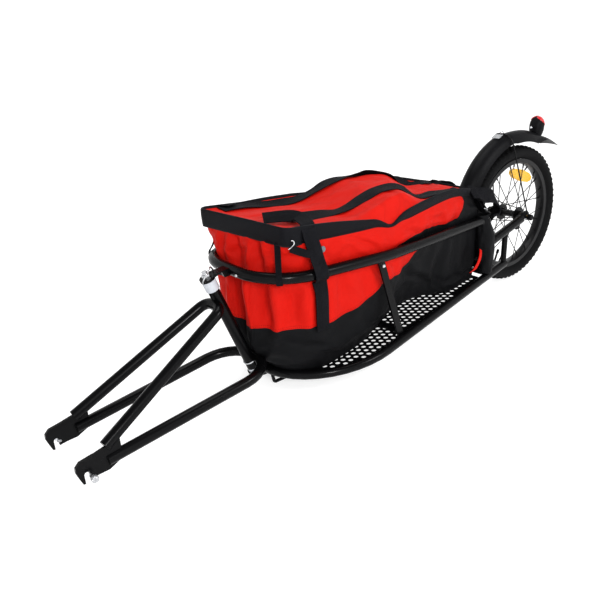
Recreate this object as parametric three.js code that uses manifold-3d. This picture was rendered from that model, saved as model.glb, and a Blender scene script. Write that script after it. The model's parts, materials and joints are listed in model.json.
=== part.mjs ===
// A single wheel touring trailer, as it stands off the bike: it rests on its rear wheel,
// on a skid under its nose and on the tips of its two hitch dropouts.
// Millimetres, +Z up. The hitch points along -X, and the trailer's left side is -Y.
// Places are written as ahead of the wheel axle, left of the centre plane and up from the ground.

import * as THREE from 'three';
import { mergeVertices } from 'three/addons/utils/BufferGeometryUtils.js';
import Module from 'manifold-3d';

const wasm = await Module();
wasm.setup();

// Driving dimensions

// Wheel
const tyreRadius = 200;
const tyreWidth = 46;
const tyreHeight = 37.5;
const rimDepth = 15.5;
const rimWidth = 28;
const rimWellDepth = 6;
const rimWall = 3;
const flangeSpacing = 60;
const flangeRadius = 24;
const flangeThickness = 3;
const flangeEdge = 3;
const hubRadius = 13;
const lockNutSpan = 100;
const lockNutRadius = 8;
const lockNutWidth = 9;
const spokeRadius = 1.2;
const spokesPerSide = 14;
const spokeCrossing = 2;
const nippleSpread = 8;
const reflectorLength = 104;
const reflectorHeight = 34;
const reflectorThickness = 9;
const reflectorGap = 33;
const reflectorAngle = 21;

// Axle and its ends
const axleRadius = 4.8;
const boreClearance = 0.4;
const rearPlateThickness = 5;
const axleNutAcross = 15;
const axleNutWidth = 8;
const axleCapRadius = 8.6;
const axleCapLength = 13;
const axleCapSkin = 2;

// Frame tubes
const hoopTubeRadius = 12.5;
const floorTubeRadius = 11;
const stayTubeRadius = 12;
const rearStrutRadius = 8;
const forkTubeRadius = 12;
const tubeSides = 12;
const jointGap = 0.3;

// Floor frame: a boat shaped loop that falls towards the nose, whose nose is half an ellipse
const floorNoseAhead = 918;
const floorNoseHeight = 34;
const floorNoseLength = 198;
const floorHalfWidth = 168;
const floorRearAhead = 108;
const floorRearHeight = 88;
const floorTaperAngle = 11.5;

// Upper hoop: it rises a little towards the nose and its ends turn down to the floor frame
const hoopNoseAhead = 984;
const hoopNoseHeight = 297.5;
const hoopShoulderAhead = 650;
const hoopHalfWidth = 148;
const hoopRearAhead = 222;
const hoopRearHalfWidth = 76;
const hoopRearHeight = 245;
const hoopNoseBend = 112;
const hoopShoulderBend = 260;
const hoopRearBend = 34;

// Floor sheet
const sheetThickness = 2;
const sheetHolePitch = 44;
const sheetHoleRadius = 13;
const sheetHoleSides = 6;
const sheetMargin = 10;
const crossBarAhead = 590;
const crossBarWidth = 22;
const crossBarThickness = 4;

// Rear dropouts
const rearPlateAbove = 16;
const rearPlateBelow = 13;
const rearPlateReach = 46;
const rearPlateBack = 15;
const rearTabDrop = 30;
const rearTabWidth = 16;
const stayOverlap = 18;

// Side struts
const sideStrutTopAhead = 682;
const sideStrutBottomAhead = 616;
const sideStrutInset = 9;
const sideStrutLift = 6;
const sideStrutWidth = 18;
const sideStrutThickness = 5;
const strutBoltRadius = 4.5;
const strutBoltLength = 6;

// Steering pivot: the axis leans towards the hitch as it rises
const pivotFootAhead = 946;
const pivotFootHeight = 32;
const pivotHeadAhead = 1042;
const pivotHeadHeight = 290;
const steeringTubeRadius = 13;
const steeringTubeBore = 7.2;
const pivotPinRadius = 6;
const steeringTubeStart = 20;
const lowerBushLength = 7;
const collarLength = 26;
const collarRadius = 15.5;
const ringRadius = 15;
const ringWidth = 3;
const ringPlace = 39;
const headPlateThickness = 6;
const headPlateWidth = 34;
const headWebWidth = 24;
const headWebHeight = 16;
const pinHeadRadius = 10;
const pinHeadHeight = 7;
const pinNutAcross = 17;
const pinNutHeight = 8;
const clipWire = 1.6;

// Nose lug and skid
const lugThickness = 6;
const lugWidth = 32;
const skidWidth = 52;
const skidLength = 54;
const skidRodRadius = 4;

// Fork
const hitchAhead = 1397;
const hitchHalfWidth = 79;
const hitchPlateThickness = 6;
const legRearAhead = 1352;
const upperLegHeight = 58;
const upperLegHalfWidth = 76;
const upperApexAhead = 1034;
const upperApexDrop = 61;
const upperApexHalfWidth = 30;
const upperApexBend = 25;
const lowerLegHeight = 28;
const lowerLegHalfWidth = 78.5;
const lowerApexAhead = 945;
const lowerApexHeight = 77;
const lowerApexHalfWidth = 82;
const lowerApexBend = 80;
const slotWidth = 11;
const slotDepth = 24;
const prongWidth = 9;
const plateFrontRise = 44;
const plateTop = 66;
const plateRearAhead = 1322;
const plateHeelHeight = 8;
const landRise = 1;
const landReach = 13;
const lockPinRadius = 3;
const lockBarrelRadius = 5.5;
const lockBarrelLength = 12;
const lockKnobRadius = 7.5;
const lockKnobLength = 9;
const lockPinHeight = 9;

// Mudguard
const guardGap = 48;
const guardWall = 2.5;
const guardHalfWidth = 31;
const guardSkirt = 30;
const guardFrontStart = -24;
const guardFrontEnd = 78;
const guardRearStart = 75;
const guardRearEnd = 135.5;
const guardRearGap = 42;
const guardTailLift = 13;
const guardTailStart = 112;
const guardLap = 0.8;
const guardWireRadius = 2;
const guardWireAngle = 77;
const guardWireSpread = 36;
const guardPlateAngle = -21;
const guardPlateHalfWidth = 84;
const guardPlateThickness = 3;
const guardPlateHeight = 44;
const clipPlateLength = 22;
const clipPlateWidth = 24;
const clipPlateThickness = 2;

// Tail lamp
const lampAhead = -106;
const lampWidth = 40;
const lampDepth = 44;
const lampHeight = 50;
const lensThickness = 4;

// Bag
const bagFrontAhead = 945;
const bagRearAhead = 205;
const bagHalfWidth = 141;
const bagFrontHeight = 402;
const bagCrown = 45;
const bagHoopRoom = 4.5;
const bagFloorRoom = 0.6;
const bagFrontTuck = 54;
const bagRearTuck = 58;
const bagFrontBulge = 8;
const bagGuardRoom = 4;
const lidThickness = 4.5;
const webbingWidth = 38;
const webbingThickness = 2;
const handleSpacing = 112;
const handleFrontAhead = 915;
const handleRearAhead = 296;
const tieStrapAhead = 862;
const tieStrapEndHeight = 150;
const tieStrapLeanShare = 0.165;

// Counts
const tyreSteps = 60;
const noseSteps = 22;
const sheetRows = 4;

// Shares of the sizes above

// Half of the tyre's outline: height above its seat, then half width
const tyreShares = [[0, 0.56], [0.22, 0.9], [0.5, 1], [0.76, 0.88], [0.93, 0.54], [1, 0.18]];

// Rows along the bag from its rear: place, half width at the floor, half width at the top,
// height of the top edge, crown of the lid
const bagShares = [
  [0, 0.468, 0.468, 0.8, 0],
  [0.13, 0.482, 0.567, 0.86, 0],
  [0.25, 0.49, 0.68, 0.905, 0.05],
  [0.4, 0.546, 0.816, 0.91, 1],
  [0.52, 0.667, 0.908, 0.898, 0.93],
  [0.64, 0.83, 0.98, 0.915, 0.3],
  [0.8, 0.908, 1, 0.958, -0.07],
  [1, 0.908, 1, 1, -0.11],
];

// Levels of the bag's wall: share of its height, then the corner radius as a share of its half width
const bagLevelShares = [
  [0, 0.72], [0.03, 0.78], [0.3, 0.7], [0.5, 0.62], [0.66, 0.55], [0.85, 0.3], [1, 0.12],
];
const bagTuckShares = [1, 0.8, 0.12, -0.04, 0, 0.06, 0];
const bagRearShares = [0.16, 0.05, 0, 0.08, 0.17, 0.6, 1];
const bagHoopLevelShare = 0.66;
const bagSkewShare = 0.11;
const bagCornerShares = [0, 0.12, 0.4, 1];
const bagSideShares = [0.1, 0.22, 0.36, 0.5, 0.64, 0.8];
const lidRingShares = [0.8, 0.5, 0.2];

// Side view of the tail lamp: share of its depth from the front, then share of its height
const lampShares = [[0.08, 0], [0.1, 0.5], [0.24, 0.96], [0.42, 1], [0.68, 0.9], [1, 0.38], [0.96, 0]];

// Side view of the reflector: shares of half its length and half its height
const reflectorShares = [[-1, 0.3], [-0.72, 0.78], [0, 1], [0.72, 0.78], [1, 0.3]];

// Finishes

const finish = (color, roughness, metalness) =>
  new THREE.MeshStandardMaterial({ color, roughness, metalness });
const blackPaint = () => finish(0x0d0d0f, 0.4, 0.1);
const blackPlastic = () => finish(0x17171a, 0.55, 0);
const rubber = () => finish(0x141414, 0.9, 0);
const blackMetal = () => finish(0x101012, 0.35, 0.6);
const zincSteel = () => finish(0xc4c6c8, 0.28, 1);
const redFabric = () => finish(0xd8180f, 0.6, 0);
const blackWebbing = () => finish(0x0f0f12, 0.8, 0);
const orangeLens = () => finish(0xf0a010, 0.2, 0);
const redLens = () => finish(0xb01018, 0.2, 0);
const whitePlastic = () => finish(0xd8d8dc, 0.45, 0);

// Small helpers

const at = (ahead, left, up) => new THREE.Vector3(-ahead, -left, up);
const radians = THREE.MathUtils.degToRad;
const lerp = THREE.MathUtils.lerp;
const trailer = new THREE.Group();

const signedVolume = (geometry) => {
  const place = geometry.getAttribute('position');
  const index = geometry.getIndex();
  const [a, b, c] = [new THREE.Vector3(), new THREE.Vector3(), new THREE.Vector3()];
  let volume = 0;
  for (let i = 0; i < index.count; i += 3) {
    a.fromBufferAttribute(place, index.getX(i));
    b.fromBufferAttribute(place, index.getX(i + 1));
    c.fromBufferAttribute(place, index.getX(i + 2));
    volume += a.dot(b.cross(c));
  }
  return volume;
};

// Merges the corners of a closed shape and turns its faces outwards
const closed = (geometry) => {
  const bare = geometry.clone();
  bare.deleteAttribute('normal');
  bare.deleteAttribute('uv');
  const merged = mergeVertices(bare);
  if (signedVolume(merged) < 0) {
    const order = Array.from(merged.getIndex().array);
    for (let i = 0; i < order.length; i += 3) {
      [order[i + 1], order[i + 2]] = [order[i + 2], order[i + 1]];
    }
    merged.setIndex(order);
  }
  return merged;
};

const toSolid = (geometry) => {
  const merged = closed(geometry);
  return new wasm.Manifold(new wasm.Mesh({
    numProp: 3,
    vertProperties: new Float32Array(merged.getAttribute('position').array),
    triVerts: new Uint32Array(merged.getIndex().array),
  }));
};

const fromSolid = (solid) => {
  const result = solid.getMesh();
  const geometry = new THREE.BufferGeometry();
  geometry.setAttribute('position', new THREE.BufferAttribute(new Float32Array(result.vertProperties), 3));
  geometry.setIndex(Array.from(result.triVerts));
  return geometry;
};

const cut = (geometry, ...tools) => {
  let solid = toSolid(geometry);
  for (const tool of tools) solid = solid.subtract(toSolid(tool));
  return fromSolid(solid);
};

const join = (...geometries) => {
  let solid = toSolid(geometries[0]);
  for (const other of geometries.slice(1)) solid = solid.add(toSolid(other));
  return fromSolid(solid);
};

const add = (name, geometry, material) => {
  const shape = closed(geometry);
  shape.computeVertexNormals();
  const piece = new THREE.Mesh(shape, material);
  piece.name = name;
  trailer.add(piece);
  return piece;
};

// Sides of the trailer: left is +1 and right is -1
const sides = [['left', 1], ['right', -1]];

// A bent tube's route: straight runs and round bends through its corners
class TubeRoute extends THREE.Curve {
  constructor(stations) {
    super();
    this.stations = stations;
  }

  station(share) {
    return this.stations[Math.round(share * (this.stations.length - 1))];
  }

  getPoint(share, target = new THREE.Vector3()) {
    return target.copy(this.station(share).point);
  }

  getPointAt(share, target = new THREE.Vector3()) {
    return this.getPoint(share, target);
  }

  getTangent(share, target = new THREE.Vector3()) {
    return target.copy(this.station(share).tangent);
  }

  getTangentAt(share, target = new THREE.Vector3()) {
    return this.getTangent(share, target);
  }
}

const bendRoute = (corners, radii, stepDegrees = 15) => {
  const stations = [];
  const first = corners[1].clone().sub(corners[0]).normalize();
  stations.push({ point: corners[0].clone(), tangent: first });
  for (let i = 1; i < corners.length - 1; i += 1) {
    const corner = corners[i];
    const into = corner.clone().sub(corners[i - 1]).normalize();
    const out = corners[i + 1].clone().sub(corner).normalize();
    const turn = into.angleTo(out);
    const radius = Array.isArray(radii) ? radii[i - 1] : radii;
    const reach = radius * Math.tan(turn / 2);
    const start = corner.clone().addScaledVector(into, -reach);
    const axis = into.clone().cross(out).normalize();
    const inward = axis.clone().cross(into).normalize();
    const centre = start.clone().addScaledVector(inward, radius);
    const steps = Math.max(1, Math.ceil(turn / radians(stepDegrees)));
    for (let k = 0; k <= steps; k += 1) {
      const angle = (turn * k) / steps;
      const arm = start.clone().sub(centre).applyAxisAngle(axis, angle);
      stations.push({ point: centre.clone().add(arm), tangent: into.clone().applyAxisAngle(axis, angle) });
    }
  }
  const last = corners[corners.length - 1];
  const end = last.clone().sub(corners[corners.length - 2]).normalize();
  stations.push({ point: last.clone(), tangent: end });
  return new TubeRoute(stations);
};

const circleShape = (radius, count) => {
  const points = [];
  for (let i = 0; i < count; i += 1) {
    const angle = ((i + 0.5) / count) * 2 * Math.PI;
    points.push(new THREE.Vector2(radius * Math.cos(angle), radius * Math.sin(angle)));
  }
  return new THREE.Shape(points);
};

const tube = (route, radius, count = tubeSides) => new THREE.ExtrudeGeometry(circleShape(radius, count), {
  steps: route.stations.length - 1,
  extrudePath: route,
  bevelEnabled: false,
});

const rod = (from, to, radius, count = tubeSides) => tube(bendRoute([from, to], 0), radius, count);

// A plate cut from a side view of ahead and up places, and spread across the trailer
const sidePlate = (outline, leftFrom, leftTo, holes = []) => {
  const shape = new THREE.Shape(outline.map(([ahead, up]) => new THREE.Vector2(ahead, up)));
  for (const hole of holes) {
    shape.holes.push(new THREE.Path(hole.map(([ahead, up]) => new THREE.Vector2(ahead, up))));
  }
  const geometry = new THREE.ExtrudeGeometry(shape, { depth: leftTo - leftFrom, bevelEnabled: false });
  const place = new THREE.Matrix4().set(-1, 0, 0, 0, 0, 0, -1, -leftFrom, 0, 1, 0, 0, 0, 0, 0, 1);
  return geometry.applyMatrix4(place);
};

// A strip cut from a cross view of left and up places, and spread along the trailer
const crossPlate = (outline, aheadFrom, aheadTo) => {
  const shape = new THREE.Shape(outline.map(([left, up]) => new THREE.Vector2(left, up)));
  const geometry = new THREE.ExtrudeGeometry(shape, { depth: aheadTo - aheadFrom, bevelEnabled: false });
  const place = new THREE.Matrix4().set(0, 0, -1, -aheadFrom, -1, 0, 0, 0, 0, 1, 0, 0, 0, 0, 0, 1);
  return geometry.applyMatrix4(place);
};

// A chain of places moved sideways by an even distance
const offsetChain = (chain, distance) => chain.map(([u, v], i) => {
  const [pu, pv] = chain[Math.max(0, i - 1)];
  const [nu, nv] = chain[Math.min(chain.length - 1, i + 1)];
  const span = Math.hypot(nu - pu, nv - pv);
  return [u - ((nv - pv) / span) * distance, v + ((nu - pu) / span) * distance];
});

// The outline of a strip of even thickness along a chain of places
const stripOutline = (chain, thickness) => [...chain, ...offsetChain(chain, thickness).reverse()];

// A straight bar of oblong section from one place to another
const bar = (from, to, width, thickness, wide) => {
  const along = to.clone().sub(from);
  const length = along.length();
  along.normalize();
  const thin = along.clone().cross(wide).normalize();
  const across = thin.clone().cross(along).normalize();
  const geometry = new THREE.BoxGeometry(width, thickness, length);
  const basis = new THREE.Matrix4().makeBasis(across, thin, along);
  basis.setPosition(from.clone().lerp(to, 0.5));
  return geometry.applyMatrix4(basis);
};

// A turned piece about the wheel axle, from pairs of radius and place across the trailer
const turned = (profile, count, up = tyreRadius) => {
  const points = profile.map(([radius, left]) => new THREE.Vector2(radius, -left));
  const geometry = new THREE.LatheGeometry(points, count, Math.PI / count);
  return geometry.translate(0, 0, up);
};

// A turned piece about any axis, from pairs of radius and place along it
const turnedAlong = (profile, count, origin, axis) => {
  const points = profile.map(([radius, along]) => new THREE.Vector2(radius, along));
  const geometry = new THREE.LatheGeometry(points, count);
  const turn = new THREE.Quaternion().setFromUnitVectors(new THREE.Vector3(0, 1, 0), axis);
  return geometry.applyMatrix4(new THREE.Matrix4().compose(origin, turn, new THREE.Vector3(1, 1, 1)));
};

// A hexagon nut with a round bore about any axis
const hexNut = (bore, across, from, to, origin, axis) => {
  const corner = across / Math.sqrt(3);
  const outside = [[0, from], [corner, from], [corner, to], [0, to]];
  const inside = [[0, from - across], [bore, from - across], [bore, to + across], [0, to + across]];
  return cut(turnedAlong(outside, 6, origin, axis), turnedAlong(inside, 20, origin, axis));
};

const sleeve = (inner, outer, from, to) =>
  [[inner, from], [outer, from], [outer, to], [inner, to], [inner, from]];

// A closed body from rings of equal count, with its first and last ring filled
const ringBody = (rings) => {
  const count = rings[0].length;
  const places = [];
  for (const ring of rings) for (const p of ring) places.push(p.x, p.y, p.z);
  const order = [];
  for (let r = 0; r < rings.length - 1; r += 1) {
    for (let i = 0; i < count; i += 1) {
      const a = r * count + i;
      const b = r * count + ((i + 1) % count);
      order.push(a, b, b + count, a, b + count, a + count);
    }
  }
  for (const [ring, flip] of [[0, true], [rings.length - 1, false]]) {
    const centre = places.length / 3;
    const middle = new THREE.Vector3();
    for (const p of rings[ring]) middle.addScaledVector(p, 1 / count);
    places.push(middle.x, middle.y, middle.z);
    for (let i = 0; i < count; i += 1) {
      const a = ring * count + i;
      const b = ring * count + ((i + 1) % count);
      order.push(...(flip ? [centre, b, a] : [centre, a, b]));
    }
  }
  const geometry = new THREE.BufferGeometry();
  geometry.setAttribute('position', new THREE.Float32BufferAttribute(places, 3));
  geometry.setIndex(order);
  return geometry;
};

// Wheel

const tyreSeatRadius = tyreRadius - tyreHeight;
const rimInnerRadius = tyreSeatRadius - rimDepth;
const reflectorRadius = rimInnerRadius - reflectorGap;

const tyre = () => {
  const depth = tyreRadius / Math.cos(Math.PI / tyreSteps) - tyreSeatRadius;
  const half = tyreShares.map(([rise, wide]) => [tyreSeatRadius + rise * depth, (wide * tyreWidth) / 2]);
  const other = half.map(([radius, left]) => [radius, -left]).reverse();
  const profile = [...half, ...other];
  add('tyre', turned([...profile, profile[0]], tyreSteps), rubber());
};

const rim = () => {
  const edge = tyreSeatRadius - jointGap;
  const half = rimWidth / 2;
  const well = rimInnerRadius + rimWellDepth;
  const waist = half - rimWall * 2;
  const profile = [
    [rimInnerRadius, -waist], [rimInnerRadius + rimWall, -half], [edge, -half], [edge, rimWall - half],
    [well, -waist], [well, waist], [edge, half - rimWall], [edge, half], [rimInnerRadius + rimWall, half],
    [rimInnerRadius, waist],
  ];
  add('rim', turned([...profile, profile[0]], tyreSteps), blackMetal());
};

const hub = () => {
  const bore = axleRadius + boreClearance;
  const barrel = flangeSpacing / 2 - flangeThickness - jointGap;
  const nut = lockNutSpan / 2 - jointGap;
  const waist = hubRadius - flangeEdge;
  const shoulder = nut - lockNutWidth;
  const seat = hubRadius - jointGap;
  const profile = [
    [bore, -nut], [lockNutRadius, -nut], [lockNutRadius, -shoulder], [seat, -shoulder], [seat, -barrel],
    [waist, -barrel / 2], [waist, barrel / 2], [seat, barrel], [seat, shoulder], [lockNutRadius, shoulder],
    [lockNutRadius, nut], [bore, nut],
  ];
  add('hub_barrel', turned([...profile, profile[0]], 24), blackMetal());
};

const guardRadius = tyreRadius + guardGap;
const wheelPoint = (radius, angle, left) =>
  at(radius * Math.cos(angle), left, tyreRadius + radius * Math.sin(angle));

const lacedFlange = (name, side) => {
  const outer = (side * flangeSpacing) / 2;
  const inner = outer - side * flangeThickness;
  let body = toSolid(turned(sleeve(hubRadius, flangeRadius, inner, outer), 28));
  const headRadius = flangeRadius - flangeEdge;
  const endRadius = rimInnerRadius - jointGap * 2;
  const pitch = (2 * Math.PI) / spokesPerSide;
  for (let i = 0; i < spokesPerSide; i += 1) {
    const place = (i + (side > 0 ? 0.25 : 0.75)) * pitch;
    const lead = (i % 2 ? 1 : -1) * spokeCrossing * pitch;
    const head = wheelPoint(headRadius, place + lead, (inner + outer) / 2);
    const end = wheelPoint(endRadius, place, (side * nippleSpread) / 2);
    body = body.add(toSolid(rod(head, end, spokeRadius, 6)));
  }
  add(name, fromSolid(body), blackMetal());
};

const reflector = () => {
  const middle = reflectorShares.map(([x, y]) => [(x * reflectorLength) / 2, (y * reflectorHeight) / 2]);
  const under = middle.map(([x, y]) => [x, -y]).reverse();
  const turn = radians(90 + reflectorAngle);
  const outline = [...middle, ...under].map(([along, out]) => {
    const radius = reflectorRadius + out;
    return [
      radius * Math.cos(turn) + along * Math.sin(turn),
      tyreRadius + radius * Math.sin(turn) - along * Math.cos(turn),
    ];
  });
  add('wheel_reflector', sidePlate(outline, -reflectorThickness / 2, reflectorThickness / 2), orangeLens());
};

// Axle ends

const rearPlateInner = lockNutSpan / 2;
const rearPlateOuter = rearPlateInner + rearPlateThickness;
const nutInner = rearPlateOuter + jointGap;
const nutOuter = nutInner + axleNutWidth;
const capInner = nutOuter + jointGap;
const axleEnd = capInner + axleCapLength - axleCapSkin - jointGap;

const axle = () => {
  const profile = [[0, -axleEnd], [axleRadius, -axleEnd], [axleRadius, axleEnd], [0, axleEnd]];
  add('axle', turned(profile, 20), zincSteel());
};

const axleEndPieces = () => {
  const bore = axleRadius + boreClearance;
  for (const [side, sign] of sides) {
    const nut = hexNut(bore, axleNutAcross, nutInner, nutOuter, at(0, 0, tyreRadius), at(0, sign, 0));
    add(`axle_nut_${side}`, nut, zincSteel());
    const mouth = sign * capInner;
    const far = sign * (capInner + axleCapLength);
    const floor = far - sign * axleCapSkin;
    const shoulder = far - sign * axleCapSkin;
    const cap = [[0, floor], [bore, floor], [bore, mouth], [axleCapRadius, mouth], [axleCapRadius, shoulder],
      [axleCapRadius - axleCapSkin, far], [0, far]];
    add(`axle_cap_${side}`, turned(cap, 16), blackPlastic());
  }
};

// Frame

const floorFall = (floorRearHeight - floorNoseHeight) / (floorNoseAhead - floorRearAhead);
const floorHeight = (ahead) => floorRearHeight - floorFall * (ahead - floorRearAhead);
const floorPlace = (ahead, left) => at(ahead, left, floorHeight(ahead));
const floorWideAhead = floorNoseAhead - floorNoseLength;
const floorTurn = radians(90 + floorTaperAngle);
const floorShoulderAhead = floorWideAhead + floorNoseLength * Math.cos(floorTurn);
const floorShoulderHalf = floorHalfWidth * Math.sin(floorTurn);
const floorTaper = -(floorHalfWidth * Math.cos(floorTurn)) / (floorNoseLength * Math.sin(floorTurn));
const floorHalfAt = (ahead) => {
  if (ahead < floorShoulderAhead) return floorShoulderHalf - floorTaper * (floorShoulderAhead - ahead);
  const share = Math.min(1, Math.abs(ahead - floorWideAhead) / floorNoseLength);
  return floorHalfWidth * Math.sqrt(1 - share * share);
};

const floorRoute = () => {
  const stations = [];
  const push = (ahead, left, tangent) => {
    stations.push({ point: floorPlace(ahead, left), tangent: tangent.normalize() });
  };
  const rearHalf = floorHalfAt(floorRearAhead);
  push(floorRearAhead, rearHalf, at(1, floorTaper, -floorFall));
  for (let i = 0; i <= noseSteps; i += 1) {
    const turn = floorTurn * (1 - (2 * i) / noseSteps);
    const forward = floorNoseLength * Math.sin(turn);
    const slope = at(forward, -floorHalfWidth * Math.cos(turn), -floorFall * forward);
    push(floorWideAhead + floorNoseLength * Math.cos(turn), floorHalfWidth * Math.sin(turn), slope);
  }
  push(floorRearAhead, -rearHalf, at(-1, floorTaper, floorFall));
  return new TubeRoute(stations);
};

const hoopRise = (hoopNoseHeight - hoopRearHeight) / (hoopNoseAhead - hoopRearAhead);
const hoopHeight = (ahead) => hoopNoseHeight - hoopRise * (hoopNoseAhead - ahead);
const hoopPlace = (ahead, left) => at(ahead, left, hoopHeight(ahead));
const hoopHalfAt = (ahead) => {
  if (ahead >= hoopShoulderAhead) return hoopHalfWidth;
  const share = (ahead - hoopRearAhead) / (hoopShoulderAhead - hoopRearAhead);
  return lerp(hoopRearHalfWidth, hoopHalfWidth, share);
};
const legFootAhead = hoopRearAhead - floorTubeRadius;
const legFootHeight = floorHeight(legFootAhead) + floorTubeRadius + jointGap * 2;

const hoopRoute = () => bendRoute([
  at(legFootAhead, floorHalfAt(legFootAhead), legFootHeight),
  hoopPlace(hoopRearAhead, hoopRearHalfWidth), hoopPlace(hoopShoulderAhead, hoopHalfWidth),
  hoopPlace(hoopNoseAhead, hoopHalfWidth), hoopPlace(hoopNoseAhead, -hoopHalfWidth),
  hoopPlace(hoopShoulderAhead, -hoopHalfWidth), hoopPlace(hoopRearAhead, -hoopRearHalfWidth),
  at(legFootAhead, -floorHalfAt(legFootAhead), legFootHeight),
], [hoopRearBend, hoopShoulderBend, hoopNoseBend, hoopNoseBend, hoopShoulderBend, hoopRearBend], 12);

const floorFrame = () => add('floor_frame', tube(floorRoute(), floorTubeRadius), blackPaint());

const upperHoop = () => add('upper_hoop', tube(hoopRoute(), hoopTubeRadius), blackPaint());

// The floor sheet fills the loop of the floor frame, with staggered rows of holes
const floorSheet = () => {
  const inset = floorTubeRadius + jointGap * 2;
  const stations = floorRoute().stations;
  const outline = stations.map(({ point, tangent }) => {
    const inward = new THREE.Vector3(-tangent.y, tangent.x, 0).normalize();
    const centre = at(floorWideAhead, 0, 0).sub(point);
    if (inward.dot(centre) < 0) inward.negate();
    const place = point.clone().addScaledVector(inward, inset);
    return new THREE.Vector2(-place.x, -place.y);
  });
  const rear = legFootAhead + hoopTubeRadius + guardPlateThickness * 2;
  const clear = outline.filter((p) => p.x > rear);
  const rearHalf = floorHalfAt(rear) - inset;
  const edge = [new THREE.Vector2(rear, rearHalf), ...clear, new THREE.Vector2(rear, -rearHalf)];
  const holes = [];
  const row = (sheetHolePitch * Math.sqrt(3)) / 2;
  const reach = sheetHoleRadius + sheetMargin;
  const crossGap = sheetHoleRadius + crossBarWidth / 2;
  for (let j = -sheetRows; j <= sheetRows; j += 1) {
    for (let i = 0; i < floorNoseAhead / sheetHolePitch; i += 1) {
      const ahead = (i + (j % 2 ? 0.5 : 0)) * sheetHolePitch;
      const left = j * row;
      const nose = Math.hypot(Math.max(0, ahead - floorWideAhead) / (floorNoseLength - inset - reach),
        left / (floorHalfWidth - inset - reach));
      const fits = ahead > rear + reach && Math.abs(left) < floorHalfAt(ahead) - inset - reach
        && nose < 1 && Math.abs(ahead - crossBarAhead) > crossGap;
      if (!fits) continue;
      const hole = [];
      for (let k = 0; k < sheetHoleSides; k += 1) {
        const angle = (k / sheetHoleSides) * 2 * Math.PI;
        const corner = new THREE.Vector2(Math.cos(angle), Math.sin(angle));
        hole.push(new THREE.Vector2(ahead, left).addScaledVector(corner, sheetHoleRadius));
      }
      holes.push(new THREE.Shape(hole));
    }
  }
  const flat = new THREE.ExtrudeGeometry(new THREE.Shape(edge), { depth: sheetThickness, bevelEnabled: false });
  const punch = new THREE.ExtrudeGeometry(holes, { depth: sheetThickness * 3, bevelEnabled: false });
  const geometry = cut(flat, punch.translate(0, 0, -sheetThickness));
  const place = geometry.getAttribute('position');
  for (let i = 0; i < place.count; i += 1) {
    const [ahead, left, rise] = [place.getX(i), place.getY(i), place.getZ(i)];
    place.setXYZ(i, -ahead, -left, floorHeight(ahead) + rise - sheetThickness / 2);
  }
  add('floor_sheet', geometry, blackPaint());
};

const crossBar = () => {
  const half = floorHalfAt(crossBarAhead) - floorTubeRadius;
  const up = floorHeight(crossBarAhead) - sheetThickness / 2 - jointGap - crossBarThickness / 2;
  const from = at(crossBarAhead, half, up);
  const to = at(crossBarAhead, -half, up);
  const strip = bar(from, to, crossBarWidth, crossBarThickness, at(1, 0, -floorFall));
  add('floor_cross_bar', cut(strip, tube(floorRoute(), floorTubeRadius + jointGap)), blackPaint());
};

const stayRearHeight = tyreRadius + 1.5 * jointGap;
const legPlace = (up) => {
  const share = (up - legFootHeight) / (hoopRearHeight - legFootHeight);
  const ahead = lerp(legFootAhead, hoopRearAhead, share);
  const left = lerp(floorHalfAt(legFootAhead), hoopRearHalfWidth, share);
  return { ahead, left };
};
const stayFrontHeight = tyreRadius - stayTubeRadius * 2.5;
const stayRearAhead = rearPlateReach - stayOverlap;
const stayRearLeft = rearPlateInner + rearPlateThickness / 2 + stayTubeRadius / 2;
const stayPlace = (ahead, sign) => {
  const leg = legPlace(stayFrontHeight);
  const share = (ahead - stayRearAhead) / (leg.ahead - stayRearAhead);
  return at(ahead, sign * lerp(stayRearLeft, leg.left, share), lerp(stayRearHeight, stayFrontHeight, share));
};

const plateSolid = (sign, room = 0) => {
  const slot = axleRadius + boreClearance;
  const outline = [
    [-rearPlateBack, tyreRadius - rearPlateBelow], [-rearPlateBack, tyreRadius + rearPlateAbove / 2],
    [-rearPlateBack / 2, tyreRadius + rearPlateAbove], [rearPlateBack, tyreRadius + rearPlateAbove],
    [rearPlateReach, tyreRadius + rearPlateBack / 2], [rearPlateReach, tyreRadius - rearTabDrop / 2],
    [rearPlateReach - rearTabWidth / 4, tyreRadius - rearTabDrop],
    [rearPlateReach - rearTabWidth, tyreRadius - rearTabDrop],
    [rearPlateReach - rearTabWidth, tyreRadius - rearPlateBelow], [slot, tyreRadius - rearPlateBelow],
  ];
  for (let i = 0; i <= 8; i += 1) {
    const angle = (i / 8) * Math.PI;
    outline.push([slot * Math.cos(angle), tyreRadius + slot * Math.sin(angle)]);
  }
  outline.push([-slot, tyreRadius - rearPlateBelow]);
  const low = sign * rearPlateInner - (sign > 0 ? room : -room);
  const high = sign * rearPlateOuter + (sign > 0 ? room : -room);
  return sidePlate(outline, Math.min(low, high), Math.max(low, high));
};

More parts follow.
